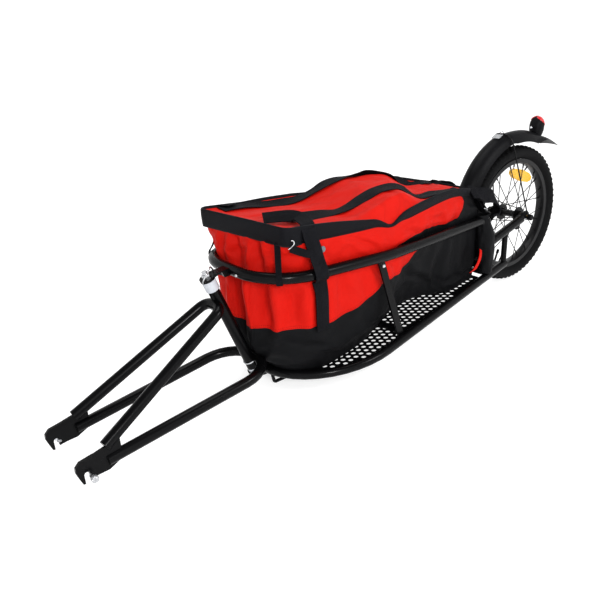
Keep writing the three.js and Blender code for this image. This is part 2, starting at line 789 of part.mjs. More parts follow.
const rearStays = () => {
  for (const [side, sign] of sides) {
    const leg = legPlace(stayFrontHeight);
    const stay = rod(stayPlace(leg.ahead, sign), stayPlace(stayRearAhead, sign), stayTubeRadius);
    const hoopLeg = rod(
      at(legPlace(legFootHeight).ahead, sign * legPlace(legFootHeight).left, legFootHeight),
      hoopPlace(hoopRearAhead, sign * hoopRearHalfWidth),
      hoopTubeRadius + jointGap,
      tubeSides * 2,
    );
    const parts = toSolid(cut(stay, hoopLeg, plateSolid(sign, jointGap))).decompose();
    parts.sort((one, other) => other.volume() - one.volume());
    add(`rear_stay_${side}`, fromSolid(parts[0]), blackPaint());
    add(`rear_dropout_${side}`, plateSolid(sign), blackPaint());
    const foot = at(floorRearAhead + rearStrutRadius, sign * floorHalfAt(floorRearAhead + rearStrutRadius),
      floorHeight(floorRearAhead));
    const head = stayPlace(floorRearAhead + rearStrutRadius / 2, sign);
    const strut = rod(foot, head, rearStrutRadius);
    const stayFront = stayPlace(leg.ahead, sign);
    const stayRear = stayPlace(stayRearAhead, sign);
    const stayRoom = rod(stayFront, stayRear, stayTubeRadius + jointGap, tubeSides * 2);
    const railRoom = tube(floorRoute(), floorTubeRadius + jointGap);
    add(`rear_strut_${side}`, cut(strut, stayRoom, railRoom), blackPaint());
  }
};

// The flat struts stand outside the bag, from under the hoop down to the floor frame
const sideStruts = () => {
  const hoopRoom = tube(hoopRoute(), hoopTubeRadius + jointGap);
  const railRoom = tube(floorRoute(), floorTubeRadius + jointGap);
  for (const [side, sign] of sides) {
    const head = hoopPlace(sideStrutTopAhead, sign * hoopHalfWidth);
    const foot = floorPlace(sideStrutBottomAhead, sign * (floorHalfAt(sideStrutBottomAhead) - sideStrutInset));
    foot.z += sideStrutLift;
    const strut = bar(head, foot, sideStrutWidth, sideStrutThickness, at(1, 0, 0));
    add(`side_strut_${side}`, cut(strut, hoopRoom, railRoom), blackPaint());
    const drop = (hoopTubeRadius + strutBoltRadius * 2) / head.distanceTo(foot);
    const seat = head.clone().lerp(foot, drop);
    const outward = at(0, sign, 0);
    const profile = [[0, 0], [strutBoltRadius, 0], [strutBoltRadius, strutBoltLength - axleCapSkin],
      [strutBoltRadius - axleCapSkin, strutBoltLength], [0, strutBoltLength]];
    const start = seat.addScaledVector(outward, sideStrutThickness / 2 + jointGap * 1.6);
    add(`side_strut_bolt_${side}`, turnedAlong(profile, 12, start, outward), zincSteel());
  }
};

// Steering pivot

const pivotFoot = at(pivotFootAhead, 0, pivotFootHeight);
const pivotHead = at(pivotHeadAhead, 0, pivotHeadHeight);
const pivotAxis = pivotHead.clone().sub(pivotFoot).normalize();
const pivotLength = pivotHead.distanceTo(pivotFoot);
const pivotPlace = (along) => pivotFoot.clone().addScaledVector(pivotAxis, along);
const tubeEnd = pivotLength - collarLength - jointGap;

const steeringTube = () => {
  const profile = sleeve(steeringTubeBore, steeringTubeRadius, steeringTubeStart, tubeEnd);
  add('steering_tube', turnedAlong(profile, 20, pivotFoot, pivotAxis), blackPaint());
};

const pivotBushes = () => {
  const bore = pivotPinRadius + boreClearance;
  const lowerTop = steeringTubeStart - jointGap;
  const lower = sleeve(bore, steeringTubeRadius, lowerTop - lowerBushLength, lowerTop);
  add('lower_bush', turnedAlong(lower, 20, pivotFoot, pivotAxis), whitePlastic());
  const collar = sleeve(bore, collarRadius, tubeEnd + jointGap, pivotLength);
  add('top_collar', turnedAlong(collar, 20, pivotFoot, pivotAxis), whitePlastic());
  const band = sleeve(steeringTubeRadius + jointGap, ringRadius, ringPlace, ringPlace + ringWidth);
  add('tube_ring', turnedAlong(band, 20, pivotFoot, pivotAxis), zincSteel());
};

const headBottom = pivotLength + jointGap;
const headTop = headBottom + headPlateThickness;
const lugTop = steeringTubeStart - jointGap * 2 - lowerBushLength;
const lugBottom = lugTop - lugThickness;

const boreTool = (radius, from, to) => {
  const profile = [[0, from], [radius, from], [radius, to], [0, to]];
  return turnedAlong(profile, 20, pivotFoot, pivotAxis);
};

// A round ended plate across the pivot axis, with its bore, that reaches back towards the frame
const pivotPlate = (from, to, width, back) => {
  const boss = boreTool(width / 2, from, to);
  const middle = (from + to) / 2;
  const rearward = pivotAxis.clone().cross(at(0, 1, 0)).normalize();
  if (rearward.x < 0) rearward.negate();
  const start = pivotPlace(middle);
  const end = start.clone().addScaledVector(rearward, back);
  return join(boss, bar(start, end, width, to - from, at(0, 1, 0)));
};

const headBracket = () => {
  const boss = boreTool(headPlateWidth / 2, headBottom, headTop);
  const boreBottom = headBottom - headPlateWidth;
  const boreTop = headTop + headPlateWidth;
  const bore = boreTool(pivotPinRadius + boreClearance, boreBottom, boreTop);
  const hoopRoom = tube(hoopRoute(), hoopTubeRadius + jointGap);
  const start = pivotPlace(headBottom + headPlateThickness / 2);
  const web = bar(start, hoopPlace(hoopNoseAhead, 0), headWebWidth, headWebHeight, at(0, 1, 0));
  const below = boreTool(headPlateWidth, 0, headBottom);
  const above = boreTool(headPlateWidth / 2 + jointGap, headTop, headTop + headPlateWidth);
  const parts = toSolid(cut(join(boss, cut(web, below, above)), bore, hoopRoom)).decompose();
  parts.sort((one, other) => other.volume() - one.volume());
  add('head_bracket', fromSolid(parts[0]), blackPaint());
};

const noseLug = () => {
  const plate = pivotPlate(lugBottom, lugTop, lugWidth, floorTubeRadius * 3);
  const bore = boreTool(pivotPinRadius + boreClearance, lugBottom - lugWidth, lugTop + lugWidth);
  const railRoom = tube(floorRoute(), floorTubeRadius + jointGap);
  const parts = toSolid(cut(plate, bore, railRoom)).decompose();
  parts.sort((one, other) => other.volume() - one.volume());
  add('nose_lug', fromSolid(parts[0]), blackPaint());
};

const pivotPin = () => {
  const low = lugBottom - jointGap;
  const high = headTop + jointGap;
  const end = high + pinNutHeight + clipWire * 4;
  const profile = [[0, low - pinHeadHeight], [pinHeadRadius, low - pinHeadHeight], [pinHeadRadius, low],
    [pivotPinRadius, low], [pivotPinRadius, end], [0, end]];
  add('pivot_pin', turnedAlong(profile, 20, pivotFoot, pivotAxis), zincSteel());
  const nut = hexNut(pivotPinRadius + boreClearance, pinNutAcross, high, high + pinNutHeight, pivotFoot, pivotAxis);
  add('pivot_nut', nut, zincSteel());
};

// The skid is a bent rod under the nose, with a flat worn underside on the ground
const noseSkid = () => {
  const rear = floorNoseAhead - skidLength;
  const half = skidWidth / 2;
  const low = skidRodRadius;
  const up = floorHeight(floorNoseAhead) - floorTubeRadius + skidRodRadius / 2;
  const route = bendRoute([
    at(floorNoseAhead, half, up), at(floorNoseAhead - skidRodRadius, half, low), at(rear, half, low),
    at(rear, -half, low), at(floorNoseAhead - skidRodRadius, -half, low), at(floorNoseAhead, -half, up),
  ], skidRodRadius * 1.5, 30);
  const railRoom = tube(floorRoute(), floorTubeRadius + jointGap);
  add('nose_skid', cut(tube(route, skidRodRadius, 8), railRoom), blackPaint());
};

// Fork

// A tube bent to a U whose ends are cut to the hitch plates and whose bend is cut to the steering tube
const forkLoop = (name, leg, apex, bend) => {
  const route = bendRoute([
    at(legRearAhead, leg.half, leg.up), at(apex.ahead, apex.half, apex.up),
    at(apex.ahead, -apex.half, apex.up), at(legRearAhead, -leg.half, leg.up),
  ], bend);
  const plates = sides.map(([, sign]) => hitchPlate(sign, jointGap));
  const pivotRoom = boreTool(steeringTubeRadius + jointGap, 0, pivotLength * 2);
  const ringRoom = boreTool(ringRadius + jointGap, ringPlace - jointGap, ringPlace + ringWidth + jointGap);
  add(name, cut(tube(route, forkTubeRadius), ...plates, pivotRoom, ringRoom), blackPaint());
};

const fork = () => {
  forkLoop(
    'fork_upper',
    { half: upperLegHalfWidth, up: upperLegHeight },
    { ahead: upperApexAhead, half: upperApexHalfWidth, up: pivotHeadHeight - upperApexDrop },
    upperApexBend,
  );
  forkLoop(
    'fork_lower',
    { half: lowerLegHalfWidth, up: lowerLegHeight },
    { ahead: lowerApexAhead, half: lowerApexHalfWidth, up: lowerApexHeight },
    lowerApexBend,
  );
};

const slotRear = hitchAhead - slotWidth / 2;
const slotFront = hitchAhead + slotWidth / 2;

// The hitch plate has a slot that opens downwards, with a notch in its rear wall for the lock pin
const hitchOutline = () => {
  const outline = [[slotFront, 0], [slotFront + prongWidth / 2, 0], [slotFront + prongWidth, slotDepth / 2]];
  outline.push([slotFront + prongWidth * 1.6, slotDepth + prongWidth / 2]);
  outline.push([slotFront + prongWidth * 1.5, plateFrontRise - prongWidth / 2]);
  outline.push([slotFront + prongWidth / 2, plateFrontRise + prongWidth / 2]);
  outline.push([slotRear - slotWidth, plateFrontRise + prongWidth]);
  outline.push([plateRearAhead, plateTop]);
  outline.push([plateRearAhead, lowerLegHeight - forkTubeRadius / 2]);
  outline.push([legRearAhead, plateHeelHeight]);
  outline.push([slotRear - slotWidth / 2, plateHeelHeight - lockPinRadius / 2]);
  outline.push([slotRear, plateHeelHeight - lockPinRadius]);
  outline.push([slotRear, slotDepth - slotWidth / 2]);
  for (let i = 1; i < 6; i += 1) {
    const angle = Math.PI - (i / 6) * Math.PI;
    const along = (slotWidth / 2) * Math.cos(angle);
    const rise = (slotWidth / 2) * Math.sin(angle);
    outline.push([hitchAhead + along, slotDepth - slotWidth / 2 + rise]);
  }
  outline.push([slotFront, slotDepth - slotWidth / 2]);
  return outline;
};

const hitchPlate = (sign, room = 0) => {
  const low = sign * hitchHalfWidth - hitchPlateThickness / 2 - room;
  return sidePlate(hitchOutline(), low, low + hitchPlateThickness + room * 2);
};

// A flat land stands proud of the plate's inner face round the slot, for the hitch nut
const hitchLand = (sign) => {
  const middle = sign * hitchHalfWidth;
  const face = middle - sign * (hitchPlateThickness / 2 + landRise);
  const [low, high] = sign > 0 ? [face, middle] : [middle, face];
  const rear = slotRear - landReach;
  const back = [[plateRearAhead - prongWidth, -prongWidth], [rear, -prongWidth], [rear, plateTop * 2],
    [plateRearAhead - prongWidth, plateTop * 2]];
  return cut(sidePlate(hitchOutline(), low, high), sidePlate(back, low - prongWidth, high + prongWidth));
};

const lockPinAhead = slotRear - lockPinRadius * 0.7;
const lockPinUp = plateHeelHeight + lockPinHeight - lockPinRadius;

const hitchPieces = () => {
  const reach = hitchPlateThickness / 2;
  for (const [side, sign] of sides) {
    const outward = at(0, sign, 0);
    const centre = at(lockPinAhead, sign * hitchHalfWidth, lockPinUp);
    const holeRadius = lockPinRadius + boreClearance;
    const hole = [[0, -reach * 3], [holeRadius, -reach * 3], [holeRadius, reach * 3], [0, reach * 3]];
    const bore = turnedAlong(hole, 16, centre, outward);
    add(`hitch_plate_${side}`, cut(join(hitchPlate(sign), hitchLand(sign)), bore), blackPaint());
    const barrelFoot = reach + jointGap;
    const barrel = sleeve(holeRadius, lockBarrelRadius, barrelFoot, barrelFoot + lockBarrelLength);
    add(`lock_barrel_${side}`, turnedAlong(barrel, 16, centre, outward), zincSteel());
    const knobFoot = barrelFoot + lockBarrelLength + jointGap;
    const knobTop = knobFoot + lockKnobLength;
    const pin = [[0, -reach], [lockPinRadius, -reach], [lockPinRadius, knobFoot], [lockKnobRadius, knobFoot],
      [lockKnobRadius, knobTop - axleCapSkin], [lockKnobRadius - axleCapSkin, knobTop], [0, knobTop]];
    add(`lock_pin_${side}`, turnedAlong(pin, 16, centre, outward), zincSteel());
  }
};

// Mudguard

const guardRow = (angle, radius, halfWidth, skirt, wall) => {
  const row = [];
  for (let i = 0; i <= 8; i += 1) {
    const share = (i - 4) / 4;
    const lean = share * radians(78);
    const left = (halfWidth * Math.sin(lean)) / Math.sin(radians(78));
    const drop = (skirt * (1 - Math.cos(lean))) / (1 - Math.cos(radians(78)));
    const thin = wall * Math.cos(lean);
    const side = wall * Math.sin(lean);
    row.push(wheelPoint(radius - drop - thin, angle, left - side));
  }
  return row;
};

const guardBlade = (from, to, radiusAt, halfAt, skirtAt, steps) => {
  const rings = [];
  for (let k = 0; k <= steps; k += 1) {
    const degrees = lerp(from, to, k / steps);
    const angle = radians(degrees);
    const outer = guardRow(angle, radiusAt(degrees), halfAt(degrees), skirtAt(degrees), 0);
    const inner = guardRow(angle, radiusAt(degrees), halfAt(degrees), skirtAt(degrees), guardWall);
    rings.push([...outer, ...inner.reverse()]);
  }
  const count = rings[0].length;
  const places = [];
  for (const ring of rings) for (const p of ring) places.push(p.x, p.y, p.z);
  const order = [];
  for (let r = 0; r < rings.length - 1; r += 1) {
    for (let i = 0; i < count; i += 1) {
      const a = r * count + i;
      const b = r * count + ((i + 1) % count);
      order.push(a, b, b + count, a, b + count, a + count);
    }
  }
  const half = count / 2;
  for (const [ring, flip] of [[0, true], [rings.length - 1, false]]) {
    for (let i = 0; i < half - 1; i += 1) {
      const a = ring * count + i;
      const b = ring * count + i + 1;
      const c = ring * count + count - 2 - i;
      const d = ring * count + count - 1 - i;
      order.push(...(flip ? [a, c, b, a, d, c] : [a, b, c, a, c, d]));
    }
  }
  const geometry = new THREE.BufferGeometry();
  geometry.setAttribute('position', new THREE.Float32BufferAttribute(places, 3));
  geometry.setIndex(order);
  return geometry;
};

// The rear blade starts inside the front one, then spreads to the same width behind it
const guardRearRadius = tyreRadius + guardRearGap;
const guardStep = guardWall + guardLap;
const lapShare = (degrees) => THREE.MathUtils.clamp((degrees - guardFrontEnd - 2) / 6, 0, 1);
const tailShare = (degrees) => Math.max(0, (degrees - guardTailStart) / (guardRearEnd - guardTailStart));
const rearGuardRadius = (degrees) => lerp(guardRadius - guardStep, guardRearRadius, lapShare(degrees))
  + guardTailLift * tailShare(degrees) ** 2;
const rearGuardHalf = (degrees) => guardHalfWidth - guardStep * (1 - lapShare(degrees));
const rearGuardSkirt = (degrees) => guardSkirt - guardStep * (1 - lapShare(degrees))
  - (guardSkirt - guardWall * 2) * Math.min(1, tailShare(degrees) * 2.2);

const mudguard = () => {
  const front = guardBlade(
    guardFrontStart, guardFrontEnd, () => guardRadius, () => guardHalfWidth, () => guardSkirt, 20,
  );
  add('guard_front', front, blackPlastic());
  const rear = guardBlade(guardRearStart, guardRearEnd, rearGuardRadius, rearGuardHalf, rearGuardSkirt, 18);
  add('guard_rear', rear, blackPlastic());
};

const guardWire = () => {
  const angle = radians(guardWireAngle);
  const arch = [];
  const rise = guardSkirt + guardWireRadius + jointGap * 2;
  const foot = guardRadius - guardSkirt;
  for (let i = 0; i <= 6; i += 1) {
    const turn = (i / 6) * Math.PI;
    arch.push(wheelPoint(foot + rise * Math.sin(turn), angle, guardWireSpread * Math.cos(turn)));
  }
  const nutTop = tyreRadius + axleNutAcross / 2 + guardWireRadius;
  const seat = (nutInner + nutOuter) / 2;
  const start = at(0, seat, nutTop);
  const end = at(0, -seat, nutTop);
  const route = bendRoute([start, ...arch, end], guardWireRadius * 4, 30);
  add('guard_wire', tube(route, guardWireRadius, 8), blackMetal());
};

const guardClip = () => {
  const angle = radians(guardWireAngle - 4.6);
  const out = at(Math.cos(angle), 0, Math.sin(angle));
  const along = at(Math.sin(angle), 0, -Math.cos(angle));
  const base = at(0, 0, tyreRadius).addScaledVector(out, guardRadius + clipPlateThickness / 2 + jointGap);
  const from = base.clone().addScaledVector(along, -clipPlateLength / 2);
  const to = base.clone().addScaledVector(along, clipPlateLength / 2);
  add('guard_clip', bar(from, to, clipPlateWidth, clipPlateThickness, at(0, 1, 0)), zincSteel());
};

// A plate across the two legs of the hoop, ahead of the wheel, carries the mudguard's lower end
const guardPlateBar = (room) => {
  const angle = radians(guardPlateAngle);
  const middle = guardRadius + jointGap * 2 + guardPlateThickness / 2;
  const centre = wheelPoint(middle, angle, 0);
  const along = at(-Math.sin(angle), 0, Math.cos(angle)).multiplyScalar(guardPlateHeight / 2 + room);
  const [from, to] = [centre.clone().sub(along), centre.clone().add(along)];
  return bar(from, to, (guardPlateHalfWidth + room) * 2, guardPlateThickness + room * 2, at(0, 1, 0));
};

const guardPlate = () => {
  const railRoom = tube(floorRoute(), floorTubeRadius + jointGap);
  const legRoom = tube(hoopRoute(), hoopTubeRadius + jointGap);
  const parts = toSolid(cut(guardPlateBar(0), railRoom, legRoom)).decompose();
  parts.sort((one, other) => other.volume() - one.volume());
  add('guard_plate', fromSolid(parts[0]), blackPaint());
};

// Tail lamp

const lampPlace = ([deep, tall]) => [
  lampAhead + lampDepth / 2 - deep * lampDepth,
  tyreRadius + guardRearRadius * Math.sin(Math.acos(-lampAhead / guardRearRadius)) + tall * lampHeight,
];

const tailLamp = () => {
  const half = lampWidth / 2;
  const blockOutline = [...lampShares.map(lampPlace), lampPlace([0.96, -0.4]), lampPlace([0.08, -0.4])];
  const block = sidePlate(blockOutline, -half, half);
  const crown = [];
  for (let degrees = guardRearStart; degrees <= guardRearEnd; degrees += 2.5) {
    const radius = rearGuardRadius(degrees) + jointGap * 1.5;
    crown.push([radius * Math.cos(radians(degrees)), tyreRadius + radius * Math.sin(radians(degrees))]);
  }
  crown.push([0, tyreRadius]);
  const under = sidePlate(crown, -lampWidth, lampWidth);
  const parts = toSolid(cut(block, under)).decompose();
  parts.sort((one, other) => other.volume() - one.volume());
  add('lamp_housing', fromSolid(parts[0]), blackPlastic());
  const face = lampShares.slice(2, 6).map(lampPlace).reverse();
  const outline = stripOutline(offsetChain(face, jointGap * 1.3), lensThickness);
  add('lamp_lens', sidePlate(outline, jointGap - half, half - jointGap), redLens());
};

// Bag

const bagLength = bagFrontAhead - bagRearAhead;
const bagShare = (ahead) => THREE.MathUtils.clamp((ahead - bagRearAhead) / bagLength, 0, 1);
const bagRow = (ahead, column) => {
  const share = bagShare(ahead);
  for (let i = 1; i < bagShares.length; i += 1) {
    const [low, high] = [bagShares[i - 1], bagShares[i]];
    if (share <= high[0]) return lerp(low[column], high[column], (share - low[0]) / (high[0] - low[0]));
  }
  return bagShares[bagShares.length - 1][column];
};
const bagFloor = (ahead) => floorHeight(ahead) + sheetThickness / 2 + bagFloorRoom;
const bagEdge = (ahead) => bagRow(ahead, 3) * bagFrontHeight;
const bagTopHalf = (ahead) => bagRow(ahead, 2) * bagHalfWidth;
const bagHalf = (ahead, level) => {
  const bottom = bagRow(ahead, 1) * bagHalfWidth;
  const middle = hoopHalfAt(ahead) - hoopTubeRadius - bagHoopRoom;
  if (level < bagHoopLevelShare) return lerp(bottom, middle, level / bagHoopLevelShare);
  return lerp(middle, bagTopHalf(ahead), (level - bagHoopLevelShare) / (1 - bagHoopLevelShare));
};
const lidHeight = (ahead, left) => {
  const across = Math.min(1, Math.abs(left) / bagTopHalf(ahead));
  return bagEdge(ahead) + bagRow(ahead, 4) * bagCrown * (1 - across * across);
};

// One level of the bag's wall, seen from above: the left side from the rear, then the right side back
const bagOutline = (row) => {
  const [level, cornerShare] = bagLevelShares[row];
  const front = bagFrontAhead - bagTuckShares[row] * bagFrontTuck
    + bagFrontBulge * (1 - Math.abs(level - bagHoopLevelShare) / bagHoopLevelShare);
  const rear = bagRearAhead + bagRearShares[row] * bagRearTuck;
  const corner = cornerShare * bagHalfWidth;
  const rearCorner = bagHalf(rear, level) / 3;
  const left = [];
  for (const share of bagCornerShares) {
    const inward = rearCorner * (1 - Math.sqrt(1 - (1 - share) ** 2));
    left.push([rear + rearCorner * share, bagHalf(rear, level) - inward]);
  }
  for (const share of bagSideShares) {
    const ahead = lerp(rear + rearCorner, front - corner, share);
    left.push([ahead, bagHalf(ahead, level)]);
  }
  for (const share of [...bagCornerShares].reverse()) {
    const inward = corner * (1 - Math.sqrt(1 - (1 - share) ** 2));
    const ahead = front - corner * share;
    left.push([ahead, bagHalf(ahead, level) - inward]);
  }
  const all = [...left, ...left.map(([ahead, half]) => [ahead, -half]).reverse()];
  const skew = bagSkewShare * Math.min(1, level * 2.5);
  return all.map(([ahead, side]) => [ahead - side * skew * bagShare(ahead) ** 2, side]);
};

const bagWallRings = () => bagLevelShares.map(([level], row) => bagOutline(row).map(([ahead, left]) => at(
  ahead,
  left,
  lerp(bagFloor(ahead), lidHeight(ahead, left) - lidThickness - jointGap, level),
)));

const lidRings = (drop) => {
  const edge = bagOutline(bagLevelShares.length - 1);
  const middle = (bagFrontAhead + bagRearAhead + bagRearTuck) / 2;
  return [1, ...lidRingShares].map((share) => edge.map(([ahead, left]) => {
    const place = lerp(middle, ahead, share < 1 ? (1 + share) / 2 : 1);
    const side = left * share;
    return at(place, side, lidHeight(place, side) - drop);
  }));
};

const guardRoom = () => turned(
  [[0, -guardHalfWidth - bagGuardRoom], [guardRadius + bagGuardRoom, -guardHalfWidth - bagGuardRoom],
    [guardRadius + bagGuardRoom, guardHalfWidth + bagGuardRoom], [0, guardHalfWidth + bagGuardRoom]],
  60,
);

const bag = () => {
  const walls = bagWallRings();
  const top = lidRings(lidThickness + jointGap).slice(1);
  const body = ringBody([...walls, ...top].reverse());
  const legRoom = tube(hoopRoute(), hoopTubeRadius + jointGap * 2);
  const parts = toSolid(cut(body, guardRoom(), guardPlateBar(bagGuardRoom / 2), legRoom)).decompose();
  parts.sort((one, other) => other.volume() - one.volume());
  add('bag_body', fromSolid(parts[0]), redFabric());
  const lidTop = lidRings(0);
  const lidUnder = lidRings(lidThickness);
  add('bag_lid', ringBody([...lidUnder.reverse(), ...lidTop]), redFabric());
};

// A strap that lies on the lid, from one place ahead to another
const lidStrap = (left, width, from, to, steps) => {
  const rings = [];
  for (let i = 0; i <= steps; i += 1) {
    const ahead = lerp(from, to, i / steps);
    const ring = [];
    for (const side of [-0.5, 0, 0.5]) {
      const across = left + side * width;
      ring.push(at(ahead, across, lidHeight(ahead, across) - lidThickness));
    }
    for (const side of [0.5, 0, -0.5]) {
      const across = left + side * width;
      ring.push(at(ahead, across, lidHeight(ahead, across) + webbingThickness * 1.5));
    }
    rings.push(ring);
  }
  return ringBody(rings);
};

const straps = () => {
  const lidTop = lidRings(0).map((ring) => ring.map((p) => p.clone().setZ(p.z + jointGap)));
  const lidUnder = lidRings(lidThickness * 4);
  const lidRoom = ringBody([...lidUnder.reverse(), ...lidTop]);
  for (const [side, sign] of sides) {
    const handle = lidStrap((sign * handleSpacing) / 2, webbingWidth, handleRearAhead, handleFrontAhead, 20);
    const parts = toSolid(cut(handle, lidRoom)).decompose();
    parts.sort((one, other) => other.volume() - one.volume());
    add(`handle_strap_${side}`, fromSolid(parts[0]), blackWebbing());
    const top = bagEdge(tieStrapAhead + webbingWidth / 2) + jointGap * 2;
    const railOut = hoopHalfWidth + hoopTubeRadius + jointGap;
    const inner = handleSpacing / 2 + webbingWidth / 2 + webbingThickness;
    const low = hoopHeight(tieStrapAhead) - hoopTubeRadius;
    const chain = [
      [sign * inner, top], [sign * bagHalfWidth, top],
      [sign * (bagHalfWidth + webbingThickness), top - webbingThickness * 2],
      [sign * railOut, low + hoopTubeRadius * 2], [sign * railOut, low],
      [sign * (bagHalf(tieStrapAhead, bagHoopLevelShare) + jointGap * 6), tieStrapEndHeight],
    ];
    const outline = stripOutline(sign > 0 ? chain : [...chain].reverse(), webbingThickness);
    const strap = crossPlate(outline, tieStrapAhead - webbingWidth / 2, tieStrapAhead + webbingWidth / 2);
    const place = strap.getAttribute('position');
    for (let i = 0; i < place.count; i += 1) {
      place.setX(i, place.getX(i) + (top - place.getZ(i)) * tieStrapLeanShare);
    }
    add(`tie_strap_${side}`, strap, blackWebbing());
  }
};

tyre();
rim();
hub();
lacedFlange('laced_flange_left', 1);
lacedFlange('laced_flange_right', -1);
reflector();
axle();
axleEndPieces();
floorFrame();
upperHoop();
floorSheet();
crossBar();
rearStays();
sideStruts();
steeringTube();
pivotBushes();
headBracket();
noseLug();
pivotPin();
noseSkid();
fork();
hitchPieces();
mudguard();
guardWire();
guardClip();
guardPlate();
tailLamp();
bag();
straps();

const box = new THREE.Box3().setFromObject(trailer);
trailer.position.set(-(box.min.x + box.max.x) / 2, -(box.min.y + box.max.y) / 2, -box.min.z);
trailer.updateMatrixWorld(true);

export default trailer;
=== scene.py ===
import json
import math

import bmesh
import bpy
from bpy.props import FloatProperty, FloatVectorProperty, IntProperty, PointerProperty
from mathutils import Matrix, Vector, noise
from mathutils.bvhtree import BVHTree

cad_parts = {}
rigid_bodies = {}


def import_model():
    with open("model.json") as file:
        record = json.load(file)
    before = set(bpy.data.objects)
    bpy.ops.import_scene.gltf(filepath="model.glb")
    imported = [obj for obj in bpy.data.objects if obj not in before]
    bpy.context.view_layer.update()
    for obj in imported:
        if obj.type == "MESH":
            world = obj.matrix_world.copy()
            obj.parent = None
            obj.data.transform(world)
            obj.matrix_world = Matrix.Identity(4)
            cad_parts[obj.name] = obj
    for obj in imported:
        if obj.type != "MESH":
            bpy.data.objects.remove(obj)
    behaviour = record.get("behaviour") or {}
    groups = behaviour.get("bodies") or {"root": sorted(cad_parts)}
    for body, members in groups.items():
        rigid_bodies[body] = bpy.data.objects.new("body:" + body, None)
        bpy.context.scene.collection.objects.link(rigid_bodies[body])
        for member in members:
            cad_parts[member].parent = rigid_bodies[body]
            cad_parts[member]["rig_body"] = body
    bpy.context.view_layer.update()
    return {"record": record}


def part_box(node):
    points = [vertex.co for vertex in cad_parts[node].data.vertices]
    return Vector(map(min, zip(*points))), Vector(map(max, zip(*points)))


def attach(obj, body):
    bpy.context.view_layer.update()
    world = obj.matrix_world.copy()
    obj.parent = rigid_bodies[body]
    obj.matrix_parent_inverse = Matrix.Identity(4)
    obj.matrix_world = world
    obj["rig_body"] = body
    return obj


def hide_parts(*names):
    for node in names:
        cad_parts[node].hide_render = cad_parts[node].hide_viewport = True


bl_info = {
    "name": "Single Wheel Touring Trailer",
    "version": (1, 0, 0),
    "blender": (4, 5, 0),
    "location": "View3D > Sidebar > Trailer",
    "description": "Dresses the frame of a single wheel touring trailer with its bag, straps and finishes",
    "category": "Object",
}

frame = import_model()


def middle(node):
    """The centre of a CAD node's box"""
    low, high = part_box(node)
    return (Vector(low) + Vector(high)) / 2


AXLE = middle("hub_barrel")
SIDES = (("left", 1), ("right", -1))


def at(ahead, left, up):
    """A place in metres from millimetres ahead of the axle, left of the centre plane and up"""
    return Vector((AXLE.x - ahead / 1000, -left / 1000, up / 1000))


# Sizes and colours


def length(name, description, default):
    return FloatProperty(name=name, description=description, default=default, min=0, unit="LENGTH")


def colour(name, description, default):
    return FloatVectorProperty(
        name=name, description=description, default=default, size=3, min=0, max=1, subtype="COLOR"
    )


class TrailerSizes(bpy.types.PropertyGroup):
    cloth_thickness: length("Cloth", "Thickness of the bag's coated cloth", 0.0014)
    binding_height: length("Rim binding", "Height of the black binding at the bag's front", 0.038)
    webbing_width: length("Webbing", "Width of the haul handles and tie straps", 0.038)
    webbing_thickness: length("Webbing thickness", "Thickness of all webbing", 0.002)
    narrow_width: length("Narrow webbing", "Width of the straps at the front corners", 0.013)
    hole_radius: length("Floor hole", "Radius of the holes in the floor sheet", 0.0062)
    hole_pitch: length("Floor hole pitch", "Distance between neighbouring holes", 0.0183)
    tread_height: length("Tread", "Height of the tyre's tread blocks", 0.0027)
    fold_limit: length("Fold limit", "The furthest that the bag's cloth may move as it settles", 0.013)
    tread_count: IntProperty(name="Tread blocks", description="Blocks in one row round the tyre", default=66)


class TrailerColours(bpy.types.PropertyGroup):
    cloth_red: colour("Red cloth", "Coated cloth of the bag's upper part and lid", (0.54, 0.012, 0.006))
    cloth_black: colour("Black cloth", "Coated cloth of the bag's lower part", (0.0055, 0.0056, 0.0064))
    webbing: colour("Webbing", "Woven straps and the rim binding", (0.0052, 0.0053, 0.0068))
    paint: colour("Powder coat", "Frame and fork tubes", (0.0032, 0.0032, 0.0036))
    zinc: colour("Zinc plate", "Bolts, pins and clips", (0.62, 0.63, 0.65))
    rubber: colour("Rubber", "Tyre", (0.0065, 0.0065, 0.007))
    plastic: colour("Black plastic", "Mudguard, lamp body and buckles", (0.0052, 0.0052, 0.006))
    white_plastic: colour("White plastic", "Collar and bush of the pivot", (0.50, 0.52, 0.56))
    orange: colour("Reflector", "Reflector between the spokes", (0.86, 0.47, 0.006))
    lens: colour("Lamp lens", "Red lens of the tail lamp", (0.55, 0.008, 0.014))
    floor: colour("Studio floor", "Floor under the trailer", (0.5, 0.5, 0.5))


def sizes():
    return bpy.context.scene.trailer_sizes


def colours():
    return bpy.context.scene.trailer_colours


# Materials


class Value:
    """One number in a material, so that sums on it are written as sums"""

    def __init__(self, finish, socket):
        self.finish, self.socket = finish, socket

    def maths(self, operation, *inputs, clamp=False):
        settings = {"operation": operation, "use_clamp": clamp}
        made = self.finish.node("ShaderNodeMath", settings, dict(enumerate(inputs)))
        return self.finish.value(made)

    def __add__(self, other):
        return self.maths("ADD", self, other)

    def __sub__(self, other):
        return self.maths("SUBTRACT", self, other)

    def __rsub__(self, other):
        return self.maths("SUBTRACT", other, self)

    def __mul__(self, other):
        return self.maths("MULTIPLY", self, other)

    def __truediv__(self, other):
        return self.maths("DIVIDE", self, other)

    def __lt__(self, other):
        return self.maths("LESS_THAN", self, other)

    def __abs__(self):
        return self.maths("ABSOLUTE", self)

    __radd__ = __add__
    __rmul__ = __mul__

    def sine(self):
        return self.maths("SINE", self)

    def root(self):
        return self.maths("SQRT", self)

    def fraction(self):
        return self.maths("FRACT", self)

    def limited(self):
        """Kept between 0 and 1"""
        return self.maths("ADD", self, 0.0, clamp=True)


